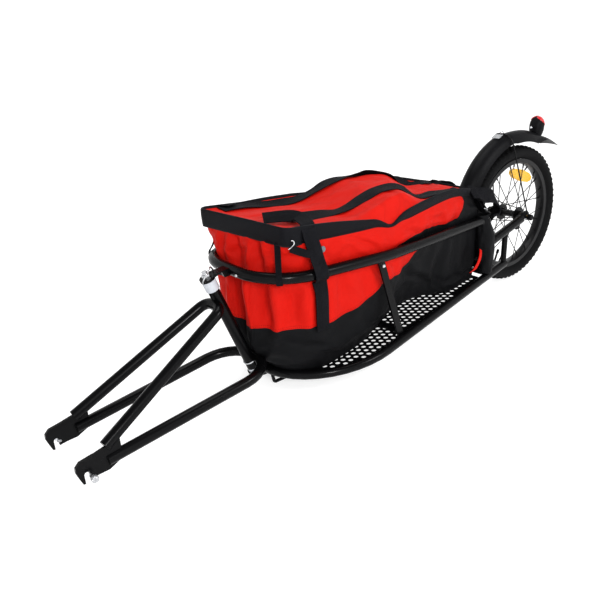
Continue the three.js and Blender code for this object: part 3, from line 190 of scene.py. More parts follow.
class Finish:
    """A material under construction"""

    def __init__(self, name):
        self.material = bpy.data.materials.new(name)
        self.material.use_nodes = True
        self.tree = self.material.node_tree
        self.tree.nodes.clear()
        self.place = self.value(self.node("ShaderNodeTexCoord"), "Object")

    def node(self, kind, settings=(), sockets=()):
        """Any node: its settings are set first, then its sockets get their values or links"""
        made = self.tree.nodes.new(kind)
        for key, setting in dict(settings).items():
            setattr(made, key, setting)
        for key, source in dict(sockets).items():
            if isinstance(source, Value):
                self.tree.links.new(source.socket, made.inputs[key])
            elif hasattr(source, "__len__") and len(source) == 3 and made.inputs[key].type == "RGBA":
                made.inputs[key].default_value = (*source, 1)
            else:
                made.inputs[key].default_value = source
        return made

    def value(self, node, output=0):
        return Value(self, node.outputs[output])

    def axes(self, source=None):
        split = self.node("ShaderNodeSeparateXYZ", (), {0: source or self.place})
        return [self.value(split, k) for k in range(3)]

    def noise(self, scale, detail):
        sockets = {"Vector": self.place, "Scale": scale, "Detail": detail}
        return self.value(self.node("ShaderNodeTexNoise", (), sockets), "Fac")

    def cells(self, scale):
        sockets = {"Vector": self.place, "Scale": scale}
        return self.value(self.node("ShaderNodeTexVoronoi", (), sockets), "Distance")

    def attribute(self, name):
        return self.value(self.node("ShaderNodeAttribute", {"attribute_name": name}), "Fac")

    def uv(self):
        """The places along and across a strap"""
        return self.axes(self.value(self.node("ShaderNodeUVMap", {"uv_map": "weave"})))[:2]

    def blend(self, factor, first, second):
        made = self.node("ShaderNodeMix", {"data_type": "RGBA"}, {0: factor, 6: first, 7: second})
        return self.value(made, 2)

    def bump(self, height, strength, distance):
        sockets = {"Height": height, "Strength": strength, "Distance": distance}
        return self.value(self.node("ShaderNodeBump", (), sockets), "Normal")

    def surface(self, **sockets):
        """Closes the material with a shader of these sockets"""
        named = {key.replace("_", " "): source for key, source in sockets.items()}
        shader = self.node("ShaderNodeBsdfPrincipled", (), named)
        self.node("ShaderNodeOutputMaterial", (), {"Surface": self.value(shader)})
        return self.material


def shade_of(base, share):
    return tuple(min(1.0, c * share) for c in base)


def from_axle(f):
    """The distance from the wheel's axis"""
    x, _, z = f.axes()
    across, rise = x - AXLE.x, z - AXLE.z
    return (across * across + rise * rise).root()


def powder_coat():
    """Gloss black powder coat: fine orange peel, a cloudy tone and lighter rubbed places"""
    f = Finish("powder_coat")
    base = colours().paint
    peel = f.noise(620, 3)
    cloudy = f.noise(14, 4)
    rubbed = ((f.noise(46, 5) - 0.66) * 9).limited()
    tint = f.blend(cloudy, shade_of(base, 0.75), shade_of(base, 1.9))
    return f.surface(
        Specular_IOR_Level=0.1,
        Base_Color=f.blend(rubbed * 0.35, tint, (0.014, 0.014, 0.015)),
        Roughness=cloudy * 0.16 + rubbed * 0.12 + 0.2,
        Coat_Weight=0.12,
        Coat_Roughness=0.14,
        Normal=f.bump(peel, 0.22, 0.0006),
    )


def anodised():
    """Black anodised alloy of the rim and hub with turning marks round the axle"""
    f = Finish("anodised_alloy")
    rings = (from_axle(f) * 5200).sine()
    cloudy = f.noise(30, 4)
    return f.surface(
        Base_Color=f.blend(cloudy, (0.004, 0.004, 0.0045), (0.01, 0.01, 0.011)),
        Metallic=0.35,
        Roughness=cloudy * 0.18 + 0.24,
        Normal=f.bump(rings, 0.12, 0.0003),
    )


def black_wire():
    """Dark wire of the spokes and nipples, cloudy and finely pitted"""
    f = Finish("black_wire")
    cloudy = f.noise(120, 4)
    return f.surface(
        Base_Color=f.blend(cloudy, (0.005, 0.005, 0.0055), (0.016, 0.016, 0.017)),
        Metallic=0.6,
        Roughness=cloudy * 0.2 + 0.28,
        Normal=f.bump(f.noise(900, 2), 0.2, 0.0003),
    )


def zinc_plate():
    """Bright zinc with drawn marks, cloudy passivation and a few dull specks"""
    f = Finish("zinc_plate")
    base = colours().zinc
    cloudy = f.noise(85, 5)
    specks = ((f.noise(420, 3) - 0.62) * 8).limited()
    tint = f.blend(cloudy, shade_of(base, 0.72), shade_of(base, 1.22))
    return f.surface(
        Base_Color=f.blend(specks * 0.4, tint, (0.2, 0.2, 0.21)),
        Metallic=1.0,
        Roughness=cloudy * 0.22 + specks * 0.2 + 0.13,
        Normal=f.bump(f.noise(700, 3), 0.15, 0.0004),
    )


def knurled_zinc():
    """Zinc plate with crossed grooves round the lock pin's knob"""
    f = Finish("knurled_zinc")
    base = colours().zinc
    x, y, z = f.axes()
    grooves = ((x + z) * 3600).sine() * ((x - z) * 3600).sine() + (y * 4200).sine() * 0.4
    cloudy = f.noise(85, 4)
    return f.surface(
        Base_Color=f.blend(cloudy, shade_of(base, 0.7), shade_of(base, 1.15)),
        Metallic=1.0,
        Roughness=cloudy * 0.2 + 0.2,
        Normal=f.bump(grooves, 0.5, 0.0006),
    )


def moulded_black():
    """Moulded black plastic with a fine spark texture and scuffs"""
    f = Finish("moulded_black")
    base = colours().plastic
    grain = f.cells(950)
    cloudy = f.noise(16, 4)
    scuffs = ((f.noise(70, 6) - 0.64) * 8).limited()
    tint = f.blend(cloudy, shade_of(base, 0.8), shade_of(base, 1.7))
    return f.surface(
        Specular_IOR_Level=0.1,
        Base_Color=f.blend(scuffs * 0.25, tint, (0.02, 0.02, 0.021)),
        Roughness=cloudy * 0.14 + scuffs * 0.14 + 0.34,
        Normal=f.bump(grain, 0.18, 0.0005),
    )


def moulded_white():
    """White moulded plastic with grime in patches"""
    f = Finish("moulded_white")
    base = colours().white_plastic
    cloudy = f.noise(60, 4)
    grime = ((f.noise(24, 6) - 0.52) * 4).limited()
    return f.surface(
        Base_Color=f.blend(grime * 0.35, f.blend(cloudy, shade_of(base, 0.93), base), (0.36, 0.36, 0.38)),
        Roughness=cloudy * 0.12 + 0.36,
        Normal=f.bump(f.noise(800, 2), 0.1, 0.0004),
    )


def moulded_grey():
    """The plain grey plastic of the snaps beside the tie straps"""
    f = Finish("moulded_grey")
    base = (0.12, 0.14, 0.16)
    cloudy = f.noise(60, 4)
    return f.surface(
        Base_Color=f.blend(cloudy, shade_of(base, 0.8), shade_of(base, 1.15)),
        Roughness=cloudy * 0.12 + 0.4,
        Normal=f.bump(f.noise(800, 2), 0.1, 0.0004),
    )


def tyre_rubber():
    """Matt rubber: ribs on the sidewall, a dusty band and mould marks"""
    f = Finish("tyre_rubber")
    base = colours().rubber
    radius = from_axle(f)
    sidewall = ((0.188 - radius) * 260).limited()
    rings = (radius * 3300).sine() * sidewall
    cloudy = f.noise(26, 5)
    dust = ((f.noise(60, 5) - 0.5) * 3).limited() * ((radius - 0.185) * 160).limited()
    tint = f.blend(cloudy, shade_of(base, 0.7), shade_of(base, 1.5))
    return f.surface(
        Specular_IOR_Level=0.1,
        Base_Color=f.blend(dust * 0.25, tint, (0.024, 0.023, 0.021)),
        Roughness=cloudy * 0.16 + 0.56,
        Normal=f.bump(rings + f.noise(700, 3) * 0.8, 0.35, 0.0005),
    )


def woven(f, scale):
    """The height of a plain weave on a surface that faces any way"""
    x, y, z = f.axes()
    first = ((x + y) * scale).sine()
    second = ((z + (x - y) * 0.35) * scale).sine()
    return first * second


def bag_cloth():
    """Coated woven cloth, red above a seam and black below it, sewn twice along the seam"""
    f = Finish("bag_cloth")
    red, black = colours().cloth_red, colours().cloth_black
    panel, along = f.attribute("panel"), f.attribute("along")
    cloudy = f.noise(7, 5)
    fine = f.noise(90, 4)
    is_red = (panel * 2600 + 0.5).limited()
    tint_red = f.blend(cloudy, shade_of(red, 0.86), shade_of(red, 1.06))
    tint_black = f.blend(cloudy, shade_of(black, 0.7), shade_of(black, 1.7))
    cloth = f.blend(is_red, tint_black, f.blend(fine * 0.3, tint_red, shade_of(red, 0.62)))
    rows = ((abs(abs(panel - 0.0042) - 0.0019)) < 0.0005) * ((along / 0.0042).fraction() < 0.62)
    stitched = f.blend(rows * 0.8, cloth, shade_of(red, 0.3))
    welt = (1 - (abs(panel) / 0.0022).limited()) * 1.2
    height = woven(f, 5200) * 0.16 + fine * 0.5 + welt - rows * 0.8
    return f.surface(
        Specular_IOR_Level=0.1,
        Base_Color=stitched,
        Roughness=is_red * 0.04 + cloudy * 0.14 + 0.5,
        Normal=f.bump(height, 0.32, 0.0008),
    )


def lid_cloth():
    """The same coated cloth in red, with lines pressed in where it has been folded, painted darker along them
    as shade in the creases
    """
    f = Finish("lid_cloth")
    red = colours().cloth_red
    cloudy = f.noise(6, 5)
    fine = f.noise(90, 4)
    # Thin crease lines: the bump presses them in as grooves, and the base colour is darkened along them as
    # painted shade in the creases
    creases_and_painted_shade = (1 - (abs(f.noise(11, 2) - 0.5) * 34).limited()) * 0.35
    tint = f.blend(cloudy, shade_of(red, 0.9), shade_of(red, 1.08))
    cloth = f.blend(fine * 0.28, tint, shade_of(red, 0.66))
    return f.surface(
        Specular_IOR_Level=0.1,
        Base_Color=f.blend(creases_and_painted_shade, cloth, shade_of(red, 0.7)),
        Roughness=cloudy * 0.14 + 0.54,
        Normal=f.bump(woven(f, 5200) * 0.16 + fine * 0.5 - creases_and_painted_shade * 1.4, 0.32, 0.0008),
    )


def strap_webbing():
    """Black woven webbing: slanted ribs across it, a rib along each edge and sewn lines"""
    f = Finish("strap_webbing")
    base = colours().webbing
    along, across = f.uv()
    ribs = ((along + abs(across) * 0.55) * 2700).sine()
    edge = ((abs(across) - 0.4) * 12).limited()
    threads = (across * 90).sine() * 0.3
    cloudy = f.noise(40, 4)
    tint = f.blend(cloudy, shade_of(base, 0.7), shade_of(base, 2.1))
    # The colour is lighter on the crests of the ribs and darker in the grooves between them
    lighter_on_rib_crests = f.blend((ribs * 0.5 + 0.5) * 0.4, tint, (0.013, 0.013, 0.016))
    return f.surface(
        Specular_IOR_Level=0.1,
        Base_Color=lighter_on_rib_crests,
        Roughness=cloudy * 0.16 + 0.6,
        Normal=f.bump(ribs * (1 - edge) + threads + edge * 0.7, 0.5, 0.0007),
    )


def binding_cloth():
    """Black coated binding with a sewn line near its lower edge"""
    f = Finish("binding_cloth")
    base = colours().webbing
    along, across = f.uv()
    cloudy = f.noise(18, 5)
    sewn = (abs(across - 0.12) < 0.018) * ((along / 0.0045).fraction() < 0.6)
    tint = f.blend(cloudy, shade_of(base, 0.8), shade_of(base, 2.0))
    return f.surface(
        Specular_IOR_Level=0.1,
        Base_Color=f.blend(sewn * 0.6, tint, (0.03, 0.03, 0.034)),
        Roughness=cloudy * 0.16 + 0.46,
        Normal=f.bump(woven(f, 4200) * 0.3 + f.noise(60, 4) * 0.9 - sewn, 0.35, 0.0008),
    )


def reflector_plastic():
    """Orange plastic with fields of small corner prisms under a clear face, their glints and shade painted
    into the colour
    """
    f = Finish("reflector_plastic")
    base = colours().orange
    x, _, z = f.axes()
    first, second = (x * 1900).sine(), ((x * 0.5 + z * 0.87) * 1900).sine()
    third = ((x * 0.5 - z * 0.87) * 1900).sine()
    prisms = first * second + third * 0.6
    bars = (((x + z * 0.4) * 70).fraction() - 0.9) * 14
    # Painted glints and shade: the base colour is made lighter and darker across the prisms as if lit
    painted_prism_glints = (prisms * 0.3 + 0.55).limited()
    return f.surface(
        Base_Color=f.blend(painted_prism_glints, shade_of(base, 0.62), shade_of(base, 1.1)),
        Roughness=0.18 + bars.limited() * 0.1,
        Coat_Weight=0.6,
        Coat_Roughness=0.06,
        Normal=f.bump(prisms, 0.35, 0.0008),
    )


def lens_plastic():
    """Red lens plastic with upright flutes under its smooth face"""
    f = Finish("lens_plastic")
    base = colours().lens
    _, y, _ = f.axes()
    flutes = (y * 2300).sine()
    return f.surface(
        Base_Color=f.blend((flutes * 0.5 + 0.5).limited(), shade_of(base, 0.6), shade_of(base, 1.25)),
        Roughness=0.14 + f.noise(30, 3) * 0.08,
        Coat_Weight=0.7,
        Coat_Roughness=0.05,
        Normal=f.bump(flutes, 0.3, 0.0006),
    )


def perforated_paint():
    """Powder coat of the floor sheet, scratched by luggage"""
    f = Finish("floor_sheet_paint")
    base = colours().paint
    cloudy = f.noise(22, 5)
    scratched = ((f.noise(80, 6) - 0.63) * 9).limited()
    tint = f.blend(cloudy, shade_of(base, 0.9), shade_of(base, 2.2))
    return f.surface(
        Specular_IOR_Level=0.1,
        Base_Color=f.blend(scratched * 0.4, tint, (0.022, 0.022, 0.023)),
        Roughness=cloudy * 0.2 + scratched * 0.2 + 0.3,
        Normal=f.bump(f.noise(700, 2), 0.2, 0.0005),
    )


def studio_floor():
    """The white floor under the trailer, lit a little by itself"""
    f = Finish("studio_floor")
    base = colours().floor
    return f.surface(
        Base_Color=f.blend(f.noise(3, 3), shade_of(base, 0.985), base),
        Roughness=0.6,
        Emission_Color=(1, 1, 1, 1),
        Emission_Strength=0.6,
        Normal=f.bump(f.noise(120, 2), 0.03, 0.0005),
    )


MAKERS = {
    "powder_coat": powder_coat, "floor_sheet_paint": perforated_paint, "anodised_alloy": anodised,
    "black_wire": black_wire, "zinc_plate": zinc_plate, "knurled_zinc": knurled_zinc,
    "moulded_black": moulded_black, "moulded_white": moulded_white, "moulded_grey": moulded_grey,
    "tyre_rubber": tyre_rubber, "bag_cloth": bag_cloth, "lid_cloth": lid_cloth,
    "strap_webbing": strap_webbing, "binding_cloth": binding_cloth, "reflector_plastic": reflector_plastic,
    "lens_plastic": lens_plastic, "studio_floor": studio_floor,
}


def material(name):
    return bpy.data.materials.get(name) or MAKERS[name]()


SLOT_FINISH = {
    "black_paint": "powder_coat", "black_alloy": "anodised_alloy", "black_steel": "black_wire",
    "bright_steel": "zinc_plate", "black_plastic": "moulded_black", "white_plastic": "moulded_white",
    "orange_lens": "reflector_plastic", "red_lens": "lens_plastic", "tyre": "tyre_rubber",
    "red_cloth": "bag_cloth", "black_webbing": "strap_webbing",
}


# Modelling helpers


def clear_selection():
    """Leaves edit mode and deselects everything"""
    if bpy.context.mode != "OBJECT":
        bpy.ops.object.mode_set(mode="OBJECT")
    bpy.ops.object.select_all(action="DESELECT")


def pick(*pieces):
    """Selects only these pieces, with the first one active"""
    clear_selection()
    for piece in pieces:
        piece.select_set(True)
    bpy.context.view_layer.objects.active = pieces[0]


def named(name):
    """The primitive that was just added, given its name"""
    piece = bpy.context.active_object
    piece.name = name
    piece.data.name = name
    return piece


def aimed(direction, across=(0, 0, 1)):
    """A turn that takes +Z to a direction, with +X as near as it goes to across"""
    z = Vector(direction).normalized()
    x = Vector(across) - z * z.dot(Vector(across))
    if x.length < 1e-6:
        x = z.orthogonal()
    x.normalize()
    return Matrix((x, z.cross(x), z)).transposed()


def placed(piece, place, direction, across=(1, 0, 0)):
    """Moves a piece that was modelled at the origin to its place in its mesh, facing a direction"""
    piece.data.transform(Matrix.Translation(place) @ aimed(direction, across).to_4x4())
    return piece


def copied(piece, name, shift):
    """A copy with its own mesh, moved and turned in it"""
    other = piece.copy()
    other.data = piece.data.copy()
    other.name = other.data.name = name
    bpy.context.collection.objects.link(other)
    other.data.transform(shift)
    return other


def joined(name, pieces):
    """Joins pieces into the first of them"""
    pick(*pieces)
    if len(pieces) > 1:
        bpy.ops.object.join()
    return named(name)


def edit_chosen(piece, chosen, kind="faces"):
    """Goes into edit mode with only the chosen faces, or edges, selected"""
    bpy.ops.object.mode_set(mode="EDIT")
    bpy.ops.mesh.select_all(action="DESELECT")
    edit = bmesh.from_edit_mesh(piece.data)
    for part in getattr(edit, kind):
        part.select = chosen(part)
    bmesh.update_edit_mesh(piece.data)


def looks_up(face):
    return face.normal.z > 0.9


def looks_down(face):
    return face.normal.z < -0.9


def edit_all(piece):
    """Goes into edit mode with the whole mesh selected"""
    pick(piece)
    bpy.ops.object.mode_set(mode="EDIT")
    bpy.ops.mesh.select_all(action="SELECT")


def leave_edit():
    bpy.ops.object.mode_set(mode="OBJECT")


def drawn_out(steps):
    """Extrudes the selected faces in steps: how much each grows across and how far it goes up"""
    for grow, shift in steps:
        bpy.ops.mesh.extrude_region_move(TRANSFORM_OT_translate={"value": (0, 0, shift)})
        bpy.ops.transform.resize(value=(grow, grow, 1))


def facing_outwards():
    """Turns all faces of the mesh that is being edited outwards and leaves edit mode"""
    bpy.ops.mesh.select_all(action="SELECT")
    bpy.ops.mesh.normals_make_consistent(inside=False)
    leave_edit()


def modified(piece, kind, **settings):
    """Adds a modifier and applies it"""
    pick(piece)
    modifier = piece.modifiers.new(kind.lower(), kind)
    for key, setting in settings.items():
        setattr(modifier, key, setting)
    bpy.ops.object.modifier_apply(modifier=modifier.name)
    return piece


def bevelled(piece, width, degrees=30):
    """Rounds the edges that are sharper than an angle"""
    return modified(
        piece, "BEVEL", width=width, segments=2, limit_method="ANGLE", angle_limit=math.radians(degrees)
    )


def smooth(piece, degrees):
    pick(piece)
    bpy.ops.object.shade_smooth_by_angle(angle=math.radians(degrees))
    return piece


def dressed(piece, finish, body="frame", replaces=()):
    """Gives a piece its finish and the body that it rides on"""
    piece.data.materials.clear()
    piece.data.materials.append(material(finish))
    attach(piece, body)
    if replaces:
        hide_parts(*replaces)
    return piece


def grid(name, rows, closed=False, capped=()):
    """A mesh of quads from rows of points, with rungs of quads across the closed rings named in capped"""
    count = len(rows[0])
    points = [p for row in rows for p in row]
    faces = []
    for ring in capped:
        base = ring * count
        for k in range(count // 2):
            rung = [base + i % count for i in (k, k + 1, count - k - 1, count - k)]
            rung = list(dict.fromkeys(rung))
            faces.append(rung if ring else rung[::-1])
    for low in range(0, (len(rows) - 1) * count, count):
        for k in range(count if closed else count - 1):
            following = (k + 1) % count
            faces.append((low + k, low + following, low + count + following, low + count + k))
    mesh = bpy.data.meshes.new(name)
    mesh.from_pydata(points, [], faces)
    mesh.update()
    piece = bpy.data.objects.new(name, mesh)
    bpy.context.collection.objects.link(piece)
    return piece


def curve_through(points, steps):
    """A smooth run of points through the given ones"""
    run = []
    ends = [points[0] * 2 - points[1], *points, points[-1] * 2 - points[-2]]
    for k in range(1, len(ends) - 2):
        p0, p1, p2, p3 = ends[k - 1:k + 3]
        for i in range(steps):
            t = i / steps
            run.append(0.5 * (
                2 * p1 + (p2 - p0) * t + (2 * p0 - 5 * p1 + 4 * p2 - p3) * t * t
                + (3 * p1 - p0 - 3 * p2 + p3) * t ** 3
            ))
    run.append(points[-1].copy())
    return run


# Places across a strap as shares of its width
STRIP_SHARES = (0.5, 0.44, 0.22, 0, -0.22, -0.44, -0.5)


def heading(run, k):
    """The way that a run of points goes at one of them"""
    return (run[min(k + 1, len(run) - 1)] - run[max(k - 1, 0)]).normalized()


def ribbon(name, points, facings, width, steps, thickness=None):
    """A strap along a run of points: facings say which way its outer face looks at each given point"""
    run = curve_through(points, steps)
    looks = curve_through(facings, steps)
    travelled = 0.0
    rows, marks = [], []
    for k, point in enumerate(run):
        ahead = heading(run, k)
        look = (looks[k] - ahead * looks[k].dot(ahead)).normalized()
        across = ahead.cross(look)
        if k:
            travelled += (point - run[k - 1]).length
        rows.append([point + across * (width * share) for share in STRIP_SHARES])
        marks += [(travelled, share) for share in STRIP_SHARES]
    piece = grid(name, rows)
    set_weave(piece, marks)
    thick = thickness or sizes().webbing_thickness
    modified(piece, "SOLIDIFY", thickness=thick, offset=0, use_even_offset=True)
    return smooth(bevelled(piece, thick * 0.3, 50), 50)


def outer_face(look, sign=1):
    """A facing in the scene from one given as ahead, left and up; sign is -1 on the right"""
    return Vector((-look[0], -look[1] * sign, look[2])).normalized()


def strap(name, run, width, steps=6, sign=1, shift=0, thickness=None):
    """A strap from places ahead, left and up on the left side, each with the way its face looks"""
    points = [at(ahead + shift, left * sign, up) for ahead, left, up, _ in run]
    return ribbon(name, points, [outer_face(look, sign) for *_, look in run], width, steps, thickness)


def cloth_shell(piece):
    """Gives a sheet its thickness and evens its surface"""
    modified(piece, "SOLIDIFY", thickness=sizes().cloth_thickness, offset=-1)
    modified(piece, "SUBSURF", levels=1, render_levels=1)
    return smooth(piece, 60)


def set_panel(piece, seams, alongs):
    """Marks each point with its distance above the seam and its place along it, in metres"""
    for name, values in (("panel", seams), ("along", alongs)):
        piece.data.attributes.new(name, "FLOAT", "POINT").data.foreach_set("value", values)


def set_weave(piece, marks):
    """Gives each point its place along and across the strap as a UV map"""
    layer = piece.data.uv_layers.new(name="weave")
    for loop in piece.data.loops:
        layer.data[loop.index].uv = marks[loop.vertex_index]


def surface_of(*nodes):
    """The surface of some nodes or pieces, to keep cloth clear of it or to seat a fitting on it"""
    points, faces = [], []
    for node in nodes:
        mesh = bpy.data.objects[node].data
        base = len(points)
        points += [v.co.copy() for v in mesh.vertices]
        faces += [[base + k for k in face.vertices] for face in mesh.polygons]
    return BVHTree.FromPolygons(points, faces)


def pushed_clear(point, surface, gap):
    """Moves a point that is nearer than the gap to a surface, or inside it, out to the gap"""
    found, normal, _, distance = surface.find_nearest(point)
    if found is None:
        return point
    inside = (point - found).dot(normal) < 0
    if inside or distance < gap:
        return found + normal * gap
    return point


def outside_wall(point, wall, sign):
    """Moves a strap's point out sideways where the bag's settled wall bulges past it"""
    clear = 0.0045 * sign
    beside = -0.4 * sign
    found = wall.ray_cast(Vector((point.x, beside, point.z)), Vector((0, sign, 0)))[0]
    if found is not None and (point.y - found.y + clear) * sign > 0:
        return Vector((point.x, found.y - clear, point.z))
    return point


# The shape of the frame and the bag, in millimetres ahead of the axle, left of the middle and up
FLOOR_REAR, FLOOR_NOSE, FLOOR_REAR_UP, FLOOR_NOSE_UP = 108, 918, 88, 34
FLOOR_FALL = (FLOOR_REAR_UP - FLOOR_NOSE_UP) / (FLOOR_NOSE - FLOOR_REAR)
NOSE_AHEAD, NOSE_LENGTH, NOSE_HALF, NOSE_TURN = 720, 198, 168, math.radians(101.5)
HOOP_REAR, HOOP_NOSE, HOOP_REAR_UP, HOOP_NOSE_UP = 222, 984, 245, 297.5
HOOP_RISE = (HOOP_NOSE_UP - HOOP_REAR_UP) / (HOOP_NOSE - HOOP_REAR)
HOOP_REAR_HALF, HOOP_HALF, HOOP_WIDE, HOOP_RADIUS = 76, 148, 650, 12.5
WHEEL_UP, GUARD_ROOM = 200, 252.5
BAG_FRONT, BAG_REAR, BAG_HALF, BAG_HEIGHT = 945, 205, 141, 402
FRONT_TUCK, REAR_TUCK, FRONT_BULGE, HOOP_LEVEL, SKEW, HOOP_GAP = 54, 58, 8, 0.66, 0.11, 4.5

# Rows along the bag from its rear, as shares: place, half width at the top, height of the top edge
BAG_ROWS = ((0, 0.468, 0.8), (0.13, 0.567, 0.86), (0.25, 0.68, 0.905), (0.4, 0.816, 0.91),
            (0.52, 0.908, 0.898), (0.64, 0.98, 0.915), (0.8, 1, 0.958), (1, 1, 1))

# Levels up the bag's wall, as shares: height, corner radius, tuck of the front face, tuck of the rear face
BAG_LEVELS = (
    (0, 0.72, 0.84, 0.16), (0.03, 0.78, 0.6, 0.05), (0.3, 0.7, -0.06, 0), (0.5, 0.62, -0.08, 0.08),
    (0.66, 0.55, -0.02, 0.17), (0.85, 0.3, 0.06, 0.6), (1, 0.12, 0, 1),
)


def mixed(first, second, share):
    return first + (second - first) * share


def limited(share):
    return min(1, max(0, share))


def eased(share):
    """A share that starts and ends gently"""
    return share * share * (3 - 2 * share)


def bell(distance, width):
    """1 at no distance, falling to nothing at about twice the width"""
    return math.exp(-((distance / width) ** 2))


def from_table(table, place, column):
    """A smooth reading between the rows of a table"""
    place = min(max(place, table[0][0]), table[-1][0])
    k = next(i for i in range(1, len(table)) if place <= table[i][0])
    (x0, y0), (x1, y1) = ((table[i][0], table[i][column]) for i in (k - 1, k))

    def slope(i):
        low, high = table[max(i - 1, 0)], table[min(i + 1, len(table) - 1)]
        return (high[column] - low[column]) / (high[0] - low[0])

    t = (place - x0) / (x1 - x0)
    m0, m1 = slope(k - 1) * (x1 - x0), slope(k) * (x1 - x0)
    low, high = min(y0, y1), max(y0, y1)
    value = ((2 * t**3 - 3 * t**2 + 1) * y0 + (t**3 - 2 * t**2 + t) * m0
             + (3 * t**2 - 2 * t**3) * y1 + (t**3 - t**2) * m1)
    spare = (high - low) * 0.2
    return min(max(value, low - spare), high + spare)


def floor_height(ahead):
    return FLOOR_REAR_UP - FLOOR_FALL * (ahead - FLOOR_REAR)


def nose_point(turn):
    """A place on the floor frame's half ellipse round the nose: ahead and left"""
    return NOSE_AHEAD + NOSE_LENGTH * math.cos(turn), NOSE_HALF * math.sin(turn)


def floor_half(ahead):
    """Half the width of the floor frame along its middle line"""
    shoulder, shoulder_half = nose_point(NOSE_TURN)
    if ahead < shoulder:
        taper = -(NOSE_HALF * math.cos(NOSE_TURN)) / (NOSE_LENGTH * math.sin(NOSE_TURN))
        return shoulder_half - taper * (shoulder - ahead)
    share = min(1, abs(ahead - NOSE_AHEAD) / NOSE_LENGTH)
    return NOSE_HALF * math.sqrt(1 - share * share)


def hoop_half(ahead):
    """Half the width of the hoop along its middle line"""
    if ahead >= HOOP_WIDE:
        return HOOP_HALF
    return mixed(HOOP_REAR_HALF, HOOP_HALF, (ahead - HOOP_REAR) / (HOOP_WIDE - HOOP_REAR))


def hoop_height(ahead):
    return HOOP_NOSE_UP - HOOP_RISE * (HOOP_NOSE - ahead)


def bag_share(ahead):
    """How far along the bag a place is, from 0 at its rear to 1 at its front"""
    return limited((ahead - BAG_REAR) / (BAG_FRONT - BAG_REAR))


def bag_row(ahead, column):
    return from_table(BAG_ROWS, bag_share(ahead), column)


def bag_top_half(ahead):
    return bag_row(ahead, 1) * BAG_HALF


def bag_edge(ahead):
    return bag_row(ahead, 2) * BAG_HEIGHT


def rim_height(ahead, left):
    """The bag's rim: slack on the right, and pinched down where the left side roll begins"""
    slack = limited((850 - ahead) / 150) * limited((ahead - 300) / 130)
    if left < 0:
        return bag_edge(ahead) - 0.08 * left * slack
    pinch = bell(ahead - 630, 34) * min(1, left / 110) ** 2
    return bag_edge(ahead) - 0.035 * left * slack - 21 * pinch


# Half width of the bag where it stands on the floor sheet, from the rear forward
BAG_FOOT = ((205, 62), (269, 60), (335, 68), (380, 62), (430, 56), (510, 56), (560, 62), (615, 72), (673, 86),
            (739, 99), (807, 107), (845, 114), (900, 126), (945, 128))


def bag_half(ahead, level):
    """Half the bag's width: level is 0 at its foot and 1 at its rim, and the hoop holds it between"""
    waist = hoop_half(ahead) - HOOP_RADIUS - HOOP_GAP
    if level < HOOP_LEVEL:
        return mixed(from_table(BAG_FOOT, ahead, 1), waist, level / HOOP_LEVEL)
    return mixed(waist, bag_top_half(ahead), (level - HOOP_LEVEL) / (1 - HOOP_LEVEL))


def skewed(ahead, left, level):
    """The bag stands a little askew: its left side lies further back towards the front"""
    return ahead - left * SKEW * min(1, level * 2.5) * bag_share(ahead) ** 2


def bag_half_loop(level):
    """The left half of the bag's outline at one level, from the middle of the rear to the front's"""
    front = BAG_FRONT - from_table(BAG_LEVELS, level, 2) * FRONT_TUCK
    front += FRONT_BULGE * (1 - abs(level - HOOP_LEVEL) / HOOP_LEVEL)
    rear = BAG_REAR + from_table(BAG_LEVELS, level, 3) * REAR_TUCK
    corner = from_table(BAG_LEVELS, level, 1) * BAG_HALF
    rear_half = bag_half(rear, level)
    rear_corner = rear_half / 3
    loop = [(rear, (rear_half - rear_corner) * k / 9) for k in range(9)]
    for k in range(7):
        turn = math.radians(90 * k / 7)
        left = rear_half - rear_corner * (1 - math.sin(turn))
        loop.append((rear + rear_corner * (1 - math.cos(turn)), left))
    first, last = rear + rear_corner, front - corner
    for k in range(52):
        ahead = mixed(first, last, k / 52)
        loop.append((ahead, bag_half(ahead, level)))
    for k in range(16):
        turn = math.radians(90 * k / 16)
        ahead = last + corner * math.sin(turn)
        loop.append((ahead, bag_half(ahead, level) - corner * (1 - math.cos(turn))))
    front_half = bag_half(front, level) - corner
    loop += [(front, front_half * (1 - k / 28)) for k in range(29)]
    return loop


def bag_loop(level):
    """The whole outline at one level: the left side from the rear forward, then the right side back"""
    left = bag_half_loop(level)
    right = [(ahead, -side) for ahead, side in reversed(left[1:-1])]
    return [(skewed(ahead, side, level), side) for ahead, side in left + right]


def outward(loop, k):
    """The way out of a loop that runs from the rear round its left side, at one of its places"""
    before, after = loop[k - 1], loop[(k + 1) % len(loop)]
    return Vector((before[1] - after[1], after[0] - before[0])).normalized()


# Lines on the bag's wall as places ahead and up. Under the hoop the cloth is red above SEAM and black
# below it, over the hoop it is red between the foot and the top of the side roll
SEAM = ((205, 440), (309, 440), (313, 313), (318, 305), (325, 295), (332, 285), (341, 278), (365, 277),
        (429, 285), (470, 291), (474, 249), (514, 239), (545, 221), (589, 212), (640, 211), (662, 207),
        (705, 183), (756, 171), (787, 167), (821, 164), (875, 166), (935, 165), (960, 165))
ROLL_FOOT = (*SEAM[:9], (489, 292), (530, 291), (600, 285), (680, 250), (960, 165))
ROLL_TOP = ((205, 200), (310, 290), (313, 313), (317, 322), (325, 331), (337, 336), (353, 340), (366, 346),
            (385, 420), (960, 420))


def read_line(line, ahead):
    """The height of a line of places at one place ahead"""
    for (a0, z0), (a1, z1) in zip(line, line[1:]):
        if ahead <= a1:
            return mixed(z0, z1, limited((ahead - a0) / (a1 - a0)))
    return line[-1][1]


def above_seam(ahead, left, up):
    """How far a place on the wall is inside the red cloth, less than nothing in the black"""
    rise = 24 * limited((-20 - left) / 30) * limited((ahead - 880) / 50)
    line = ROLL_FOOT if up > hoop_height(ahead) else SEAM
    return min(up - read_line(line, ahead) - rise, read_line(ROLL_TOP, ahead) - up)


